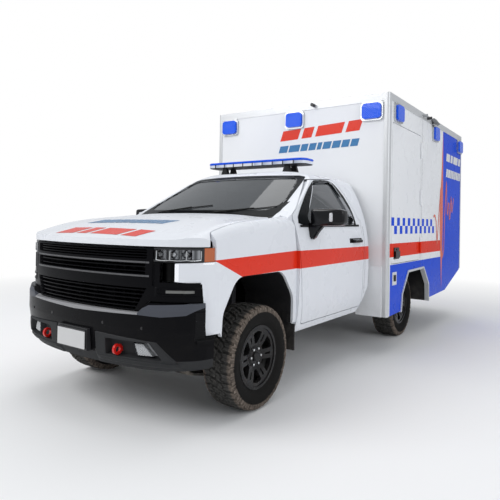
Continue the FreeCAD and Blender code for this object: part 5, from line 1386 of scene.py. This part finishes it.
def make_mirrors():
    """Rounded mirror housings on tapered arms, with a side lamp and a mirror pane."""
    for hand, side in HANDS:
        body = f"door_{hand}"
        corners = [(side * x, y, z) for x, y, z in zip(MIRROR_X, MIRROR_Y, MIRROR_Z)]
        housing = cushion(*corners, 0.03, 14).moved(tapered)
        outline = [(side * x, ARM_Y[0], z) for x, z in ARM_OUTLINE]
        arm = Solids().prism(outline, (0, ARM_Y[1] - ARM_Y[0], 0))
        arm.place(f"mirror_arm_{hand}", body, "black_gloss", "black_gloss", round_edge=ARM_ROUND, segments=4)
        item = housing.place(f"mirror_housing_{hand}", body, "black_gloss", "black_gloss", smooth=True)
        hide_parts(f"mirror_{hand}")
        lamp = cushion((side * 1.198, -1.649, 1.478), (side * 1.228, -1.612, 1.558), 0.05, 6)
        lamp.place(f"mirror_lamp_{hand}", body, "lamp_white", "lamp_clear", smooth=True)
        pane = Solids().box((side * 1.050, -1.511, 1.470), (side * 1.295, -1.5065, 1.578))
        pane.place(f"mirror_glass_{hand}", body, "mirror_glass", "bezel_chrome")


def make_cab_seams():
    """The seams of the cab's back corner panels."""
    skin = skin_of("cab_shell")
    for hand, side in HANDS:
        seam = ribbon(Solids(), skin, side_path(*CAB_SEAM), SEAM_WIDTH, inward(side), 0.001)
        seam.place(f"cab_seam_{hand}", "chassis", "seam_grey", "white_paint")


# Livery: the lengths of the bars that stand in place of words, as shares of their row

BIG_SHARES = (2.2, 1.2, 3.0, 1.5)
SMALL_SHARES = (1.3, 1.6, 1.0, 1.0, 0.6, 1.1, 1.1, 1.0, 1.0)
SIDE_BIG_SHARES = (2.0, 1.2, 2.6, 1.2)
SIDE_SMALL_SHARES = (1.2, 1.6, 1.0, 1.0, 0.6, 1.1, 1.1, 1.0, 1.0)
BAR_GAP_SHARE = 0.35
BAR_CORNERS = ((-0.5, -0.5), (0.5, -0.5), (0.5, 0.5), (-0.5, 0.5))
BAR_LIFT = 0.002

# Rows of bars on one face: (name, material, start, end, shares, height, lean)
FRONT_ROWS = (
    ("front_bars_red", "mark_red", (-0.19, 0, 2.560), (0.88, 0, 2.610), BIG_SHARES, 0.125, 0.35),
    ("front_bars_blue", "mark_blue", (-0.22, 0, 2.392), (0.85, 0, 2.412), SMALL_SHARES, 0.085, 0.30),
)
HOOD_ROWS = (
    ("hood_bars_red", "mark_red", (-0.40, along(-0.80), 0), (0.52, along(-0.79), 0), BIG_SHARES, 0.15, 0.35),
    ("hood_bars_blue", "mark_blue", (-0.42, along(-0.49), 0), (0.44, along(-0.45), 0), SMALL_SHARES,
     0.15, 0.30),
)
SIDE_ROWS = (
    ("side_bars_high", "mark_white", (0, along(4.66), 2.500), (0, along(5.53), 2.500), SIDE_BIG_SHARES,
     0.120, 0.25),
    ("side_bars_low", "mark_white", (0, along(4.66), 2.262), (0, along(5.54), 2.262), SIDE_SMALL_SHARES,
     0.125, 0.25),
)

HEARTBEAT = ((4.007, 1.581), (4.045, 1.604), (4.087, 1.594), (4.139, 1.517), (4.204, 1.180), (4.270, 1.560),
             (4.360, 2.020), (4.420, 1.560), (4.500, 0.980), (4.571, 1.102), (4.598, 1.592), (4.677, 2.136),
             (4.740, 1.660), (4.762, 1.619), (4.817, 1.811), (4.850, 1.800), (4.876, 1.560), (4.915, 1.580),
             (4.974, 1.915), (5.010, 1.700), (5.047, 1.674), (5.125, 1.898))
HEARTBEAT_WIDTH = 0.034
WEDGE = ((4.457, 2.850), (4.405, 2.300), (4.330, 1.700), (4.330, 1.450), (4.395, 1.020), (4.457, 0.520),
         (4.478, 1.000), (4.500, 1.500), (4.500, 1.700), (4.478, 2.300))


def bar_row(body, skin, way, up, row, ending=""):
    """A row of leaning bars between two places, each as long as its share says."""
    name, material, start, end, shares, height, lean = row
    start, way, up = Vector(start), Vector(way), Vector(up)
    run = Vector(end) - start
    gap = BAR_GAP_SHARE * min(shares)
    unit = run.length / (sum(shares) + gap * (len(shares) - 1))
    run.normalize()
    solids = Solids()
    at = 0.0
    for share in shares:
        place = start + run * ((at + share / 2) * unit)
        corners = []
        for across, level in BAR_CORNERS:
            point = place + run * (across * share * unit + level * lean * height) + up * (level * height)
            corners.append(lay(skin, point, way, BAR_LIFT))
        lay_patch(solids, corners)
        at += share + gap
    solids.place(name + ending, body, material, "box_paint")


def make_livery_bars():
    """Plain leaning bars in the places of the words."""
    front, hood = skin_of("box_front"), skin_of("hood")
    for row in FRONT_ROWS:
        bar_row("chassis", front, BACKWARD, (0, 0, 1), row)
    for row in HOOD_ROWS:
        bar_row("hood", hood, DOWNWARD, BACKWARD, row)
    for hand, side in HANDS:
        for row in SIDE_ROWS:
            bar_row("chassis", skin_of(f"box_{hand}"), inward(side), (0, 0, 1), row, f"_{hand}")


def make_heartbeat():
    """The heartbeat line and the tall wedge at the edge of the blue panel."""
    for hand, side in HANDS:
        skin = skin_of(f"box_{hand}")
        line = ribbon(Solids(), skin, side_path(*HEARTBEAT), HEARTBEAT_WIDTH, inward(side), 0.0025, 0.05)
        line.place(f"heartbeat_{hand}", "chassis", "mark_orange", "box_paint")
        wedge = Solids()
        lay_patch(wedge, [lay(skin, point, inward(side), 0.0018) for point in side_path(*WEDGE)])
        wedge.place(f"wedge_{hand}", "chassis", "mark_orange", "box_paint")


# Box

LOCKER_SEAM = ((3.432, 0.90), (3.432, 2.84))
RIVET_COUNT = 17
RIVET_START_Z = 0.55
RIVET_PITCH = 0.140
RIVET_FROM_EDGE = 0.031
LATCH_LOW = (along(2.383), 1.067)
LATCH_HIGH = (along(2.549), 1.199)
LOCK_ROD_X = 0.075
LOCK_ROD_Z = (1.05, 2.72)
LOCK_GUIDE_ZS = (1.12, 1.60, 2.10, 2.62)
SIDE_LATCH_Y = along(2.96)


def make_box_trim():
    """The seam behind the locker door, and rows of rivets down the box's front corners."""
    skin = skin_of("box_left", "locker_door")
    seam = ribbon(Solids(), skin, side_path(*LOCKER_SEAM), SEAM_WIDTH, inward(1), 0.0015)
    seam.place("box_seams", "chassis", "seam_grey", "box_paint")
    rivets = Solids()
    for hand, side in HANDS:
        x = side * (BOX_HALF - RIVET_FROM_EDGE)
        for i in range(RIVET_COUNT):
            z = RIVET_START_Z + i * RIVET_PITCH
            rivets.rod((x, BOX_FRONT + 0.0005, z), (x, BOX_FRONT - 0.002, z), 0.005, 10, 0.003)
    rivets.place("corner_rivets", "chassis", "trim_aluminium", "trim_aluminium", smooth=True)


def make_locker_latch():
    """The black paddle latch of the locker door, and the power inlet below it."""
    (y0, z0), (y1, z1) = LATCH_LOW, LATCH_HIGH
    y = (y0 + y1) / 2
    x = lay(skin_of("locker_door"), (0, y, (z0 + z1) / 2), inward(1)).x
    latch = Solids().box((x, y0, z0), (x + 0.010, y1, z1))
    latch.box((x + 0.010, y0 + 0.012, z0 + 0.014), (x + 0.026, y1 - 0.012, z0 + 0.090))
    latch.rod((x + 0.010, y, z1 - 0.022), (x + 0.016, y, z1 - 0.022), 0.010, 20)
    latch.place("locker_latch", "locker_door", "black_gloss", "black_plastic", smooth=True)
    x = lay(skin_of("box_left"), (0, along(2.42), 0.85), inward(1)).x
    plate = Solids().box((x, along(2.344), 0.771), (x + 0.006, along(2.481), 0.918))
    plate.place("inlet_plate", "chassis", "box_white", "box_paint")
    inlet = Solids().box((x + 0.006, along(2.378), 0.815), (x + 0.016, along(2.436), 0.885))
    inlet.place("inlet_cap", "chassis", "black_plastic", "black_plastic")


def make_rear_details():
    """Lock rods with their guides and handles on the rear doors, and the patient door's handle."""
    y = lay(skin_of("rear_door_left"), (0.2, 0, 1.2), (0, -1, 0)).y
    for hand, side in HANDS:
        x = side * LOCK_ROD_X
        rods = Solids().tube([(x, y, z) for z in LOCK_ROD_Z], 0.009, 10)
        for z in LOCK_GUIDE_ZS:
            rods.box((x - 0.022, y - 0.020, z - 0.020), (x + 0.022, y + 0.004, z + 0.020))
        rods.box((x - 0.016, y, 1.36), (x + 0.016, y + 0.012, 1.52))
        rods.place(f"rear_lock_rod_{hand}", f"rear_door_{hand}", "trim_aluminium", "trim_aluminium",
                   smooth=True)
    y0 = SIDE_LATCH_Y
    x = lay(skin_of("side_door"), (0, y0 + 0.05, 1.26), inward(-1)).x
    handle = Solids().box((x - 0.010, y0, 1.20), (x, y0 + 0.11, 1.34))
    handle.box((x - 0.026, y0 + 0.012, 1.215), (x - 0.010, y0 + 0.098, 1.300))
    handle.place("side_door_latch", "side_door", "black_gloss", "black_plastic")


# Seats, with heights from their foot. Backrest and head rest are built upright and then leant back.

SEAT_X = 0.390
SEAT_HALF = 0.255
SEAT_FOOT_INSET = 0.06
SEAT_FOOT_Y = (along(1.12), along(1.50))
SEAT_FOOT_TOP = 0.27
CUSHION_Y = (along(1.05), along(1.58))
CUSHION_Z = (0.24, 0.385)
BACKREST_THICK = 0.13
BACKREST_TALL = 0.66
HEAD_REST_HALF = 0.13
HEAD_REST_Y = (0.02, 0.11)
HEAD_REST_Z = (0.665, 0.86)
SEAT_LEAN = -0.30
SEAT_LEAN_PLACE = (0, along(1.50), SEAT_FOOT + 0.28)


def make_seats():
    """Padded cushions, backrests and head rests that stand for the two plain seats."""
    lean = Matrix.Translation(SEAT_LEAN_PLACE) @ Matrix.Rotation(SEAT_LEAN, 4, "X")
    for hand, side in HANDS:
        x0, x1 = side * SEAT_X - SEAT_HALF, side * SEAT_X + SEAT_HALF
        foot = Solids().box((x0 + SEAT_FOOT_INSET, SEAT_FOOT_Y[0], SEAT_FOOT),
                            (x1 - SEAT_FOOT_INSET, SEAT_FOOT_Y[1], SEAT_FOOT + SEAT_FOOT_TOP))
        foot.place(f"seat_foot_{hand}", "chassis", "black_plastic", "black_plastic")
        seat = cushion(*zip((x0, x1), CUSHION_Y, (SEAT_FOOT + z for z in CUSHION_Z)), 0.06)
        back = cushion((x0, 0.0, 0.0), (x1, BACKREST_THICK, BACKREST_TALL), 0.08).moved(lean)
        rest_x = (side * SEAT_X - HEAD_REST_HALF, side * SEAT_X + HEAD_REST_HALF)
        rest = cushion(*zip(rest_x, HEAD_REST_Y, HEAD_REST_Z), 0.08).moved(lean)
        for name, solids in (("seat_cushion", seat), ("seat_back", back), ("head_rest", rest)):
            item = solids.place(f"{name}_{hand}", "chassis", "seat_fabric", "seat_fabric", smooth=True)
    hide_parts("seats")


# Lights on the roofs

BAR_Y = along(1.390)
BAR_HALF = 0.652
BAR_WIDE = 0.270
BAR_CORNER = 0.084
BAR_LENS_Z = (2.086, 2.116)
BAR_CAP_Z = (2.116, 2.142)
TRAY_THICK = 0.005
BAR_FOOT_X = 0.415
BAR_FOOT_Z = (2.000, 2.083)
BAR_FOOT_HALF = (0.050, 0.022)
BAR_FOOT_SHIFT = 0.075
BAR_FOOT_THICK = 0.044
BAR_CELLS = 10
TIE_HALF = 0.004
FLOOD_PLACE = (1.255, along(3.880), 2.895)
FLOOD_HALF = Vector((0.070, 0.045, 0.022))
FLOOD_TILT = 0.95


def rounded_plate(inset, corner, low, high, steps=8):
    """A flat plate with round corners, some way inside the light bar's outline."""
    x, y = BAR_HALF - inset - corner, BAR_WIDE / 2 - inset - corner
    outline = []
    for across, back, first in ((1, 1, 0), (-1, 1, 90), (-1, -1, 180), (1, -1, 270)):
        for i in range(steps + 1):
            turn = math.radians(first + 90 * i / steps)
            place = (across * x + corner * math.cos(turn), BAR_Y + back * y + corner * math.sin(turn), low)
            outline.append(place)
    return Solids().prism(outline, (0, 0, high - low))


def make_light_bar():
    """A thin light bar: a blue cap over clear lenses on a black tray, with its feet and thin ties."""
    tray = rounded_plate(0.010, 0.075, BAR_LENS_Z[0] - TRAY_THICK, BAR_LENS_Z[0])
    for hand, side in HANDS:
        x, (wide, narrow), (low, high) = side * BAR_FOOT_X, BAR_FOOT_HALF, BAR_FOOT_Z
        outline = [(x - wide, 0, low), (x + wide, 0, low), (x + narrow, 0, high), (x - narrow, 0, high)]
        for shift in (-BAR_FOOT_SHIFT, BAR_FOOT_SHIFT):
            tray.prism(outline, (0, BAR_FOOT_THICK, 0), (0, BAR_Y + shift - BAR_FOOT_THICK / 2, 0))
    item = tray.place("bar_tray", "chassis", "black_plastic", "black_plastic", round_edge=0.002)
    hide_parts("light_bar")
    rounded_plate(0.004, 0.080, *BAR_LENS_Z).place("bar_lens", "chassis", "bar_clear", "blue_lens")
    cap = rounded_plate(0.0, BAR_CORNER, *BAR_CAP_Z)
    cap.place("bar_cap", "chassis", "bar_blue", "blue_lens", round_edge=0.007, segments=3)
    ties = Solids()
    for i in range(1, BAR_CELLS):
        x = BAR_HALF * (2 * i / BAR_CELLS - 1)
        ties.box((x - TIE_HALF, BAR_Y - BAR_WIDE / 2 - 0.001, BAR_LENS_Z[0] - 0.003),
                 (x + TIE_HALF, BAR_Y + BAR_WIDE / 2 + 0.001, BAR_CAP_Z[0] + 0.004))
    ties.place("bar_ties", "chassis", "black_plastic", "black_plastic")


def make_flood():
    """The tilted flood lamp over each side door opening, on its bracket."""
    x, y, z = FLOOD_PLACE
    for hand, side in HANDS:
        turn = Matrix.Translation((side * x, y, z)) @ Matrix.Rotation(side * FLOOD_TILT, 4, "Y")
        head = Solids().box(-FLOOD_HALF, FLOOD_HALF).moved(turn @ Matrix.Rotation(math.pi / 2, 4, "Z"))
        head.place(f"flood_head_{hand}", "chassis", "flood_grey", "black_plastic", round_edge=0.006)
        arm = Solids().box((side * 1.205, y - 0.015, z - 0.020), (side * 1.240, y + 0.015, z))
        arm.place(f"flood_arm_{hand}", "chassis", "black_plastic", "black_plastic")


# Studio: the floor turns plain white between two distances from its middle

FLOOR_HALF = 60.0
FLOOR_FADE = (4.5, 9.0)
PLAIN_WHITE = (1.0, 1.0, 1.0, 1.0)
SKY_COLOUR = (0.93, 0.96, 1.0, 1.0)
SKY_STRENGTH = 0.50

# Soft lights: (name, place, aim, size, power, colour)
LIGHTS = (("key", (-4.5, -9.0, 7.5), (0.0, -1.0, 1.2), (6.0, 5.0), 520.0, (1.0, 1.0, 1.0)),
          ("fill", (9.0, -3.0, 4.5), (0.5, 0.0, 1.2), (7.0, 5.0), 210.0, (0.95, 0.97, 1.0)),
          ("top", (0.0, 1.0, 9.0), (0.0, 0.5, 0.0), (8.0, 10.0), 260.0, (1.0, 1.0, 1.0)),
          ("back", (-5.0, 9.0, 6.0), (0.0, 1.0, 1.5), (6.0, 5.0), 170.0, (1.0, 1.0, 1.0)))


def put(name, data):
    """A new object in the scene."""
    item = bpy.data.objects.new(name, data)
    bpy.context.scene.collection.objects.link(item)
    return item


def make_camera():
    yaw, tilt, roll = (math.radians(angle) for angle in (CAMERA_YAW_DEG, CAMERA_RISE_DEG, CAMERA_ROLL_DEG))
    ahead = Vector((-math.sin(yaw) * math.cos(tilt), math.cos(yaw) * math.cos(tilt), math.sin(tilt)))
    right = ahead.cross(Vector((0, 0, 1))).normalized()
    up = right.cross(ahead)
    across = right * math.cos(roll) + up * math.sin(roll)
    upward = up * math.cos(roll) - right * math.sin(roll)
    data = bpy.data.cameras.new("camera")
    data.lens = CAMERA_LENS_MM
    data.sensor_width = CAMERA_SENSOR_MM
    data.sensor_fit = "HORIZONTAL"
    data.shift_x, data.shift_y = CAMERA_SHIFT
    data.clip_end = 200.0
    camera = put("camera", data)
    turn = Matrix((across, upward, -ahead)).transposed().to_4x4()
    camera.matrix_world = Matrix.Translation(CAMERA_PLACE) @ turn
    bpy.context.scene.camera = camera


def mixed_shader(tree, share, shader, other):
    mix = tree.nodes.new("ShaderNodeMixShader")
    for output, socket in zip((share, shader, other), mix.inputs):
        tree.links.new(output, socket)
    return mix.outputs[0]


def show_white(tree, shader, white):
    """Shows plain white to the camera and through glass, and the given shader to the light."""
    path = tree.nodes.new("ShaderNodeLightPath")
    seen = tree.nodes.new("ShaderNodeMath")
    seen.operation = "MAXIMUM"
    for name, socket in zip(("Is Camera Ray", "Is Transmission Ray"), seen.inputs):
        tree.links.new(path.outputs[name], socket)
    return mixed_shader(tree, seen.outputs[0], shader, white)


def make_world():
    world = bpy.data.worlds.new("studio")
    bpy.context.scene.world = world
    world.use_nodes = True
    tree = world.node_tree
    tree.nodes.clear()
    output = tree.nodes.new("ShaderNodeOutputWorld")
    backgrounds = []
    for colour, strength in ((SKY_COLOUR, SKY_STRENGTH), (PLAIN_WHITE, 1.0)):
        node = tree.nodes.new("ShaderNodeBackground")
        node.inputs[0].default_value = colour
        node.inputs[1].default_value = strength
        backgrounds.append(node.outputs[0])
    tree.links.new(show_white(tree, *backgrounds), output.inputs[0])


def make_floor():
    mesh = bpy.data.meshes.new("floor")
    size = FLOOR_HALF
    corners = [(-size, -size, 0), (size, -size, 0), (size, size, 0), (-size, size, 0)]
    mesh.from_pydata(corners, [], [(0, 1, 2, 3)])
    floor = put("floor", mesh)
    shade = Shade("floor_pale")
    shade.set(colour=(0.90, 0.90, 0.90), roughness=0.9, specular=0.1)
    tree = shade.tree
    white = tree.nodes.new("ShaderNodeEmission")
    away = tree.nodes.new("ShaderNodeVectorMath")
    away.operation = "LENGTH"
    tree.links.new(shade.coordinates.outputs["Object"], away.inputs[0])
    faded = shade.remap(away.outputs["Value"], *FLOOR_FADE, 0.0, 1.0)
    pale = shade.surface.outputs[0]
    seen = mixed_shader(tree, faded, pale, white.outputs[0])
    tree.links.new(show_white(tree, pale, seen), shade.output.inputs[0])
    mesh.materials.append(shade.material)


def make_lights():
    for name, place, aim, size, power, colour in LIGHTS:
        data = bpy.data.lights.new(name, "AREA")
        data.shape = "RECTANGLE"
        data.size, data.size_y = size
        data.energy = power
        data.color = colour
        light = put(name, data)
        light.location = place
        light.rotation_euler = (Vector(aim) - Vector(place)).to_track_quat("-Z", "Y").to_euler()


dress_nodes()
for make in (make_wheels, make_bumper, make_grille, make_headlamps, make_lamp_trim, make_day_lamps,
             make_sensors, make_window_surrounds, make_screen_surround, make_wipers, make_handle_trim,
             make_mirrors, make_cab_seams, make_livery_bars, make_heartbeat, make_box_trim,
             make_locker_latch, make_rear_details, make_seats, make_light_bar, make_flood, make_camera,
             make_world, make_floor, make_lights):
    make()
bpy.context.scene.view_settings.view_transform = "Standard"
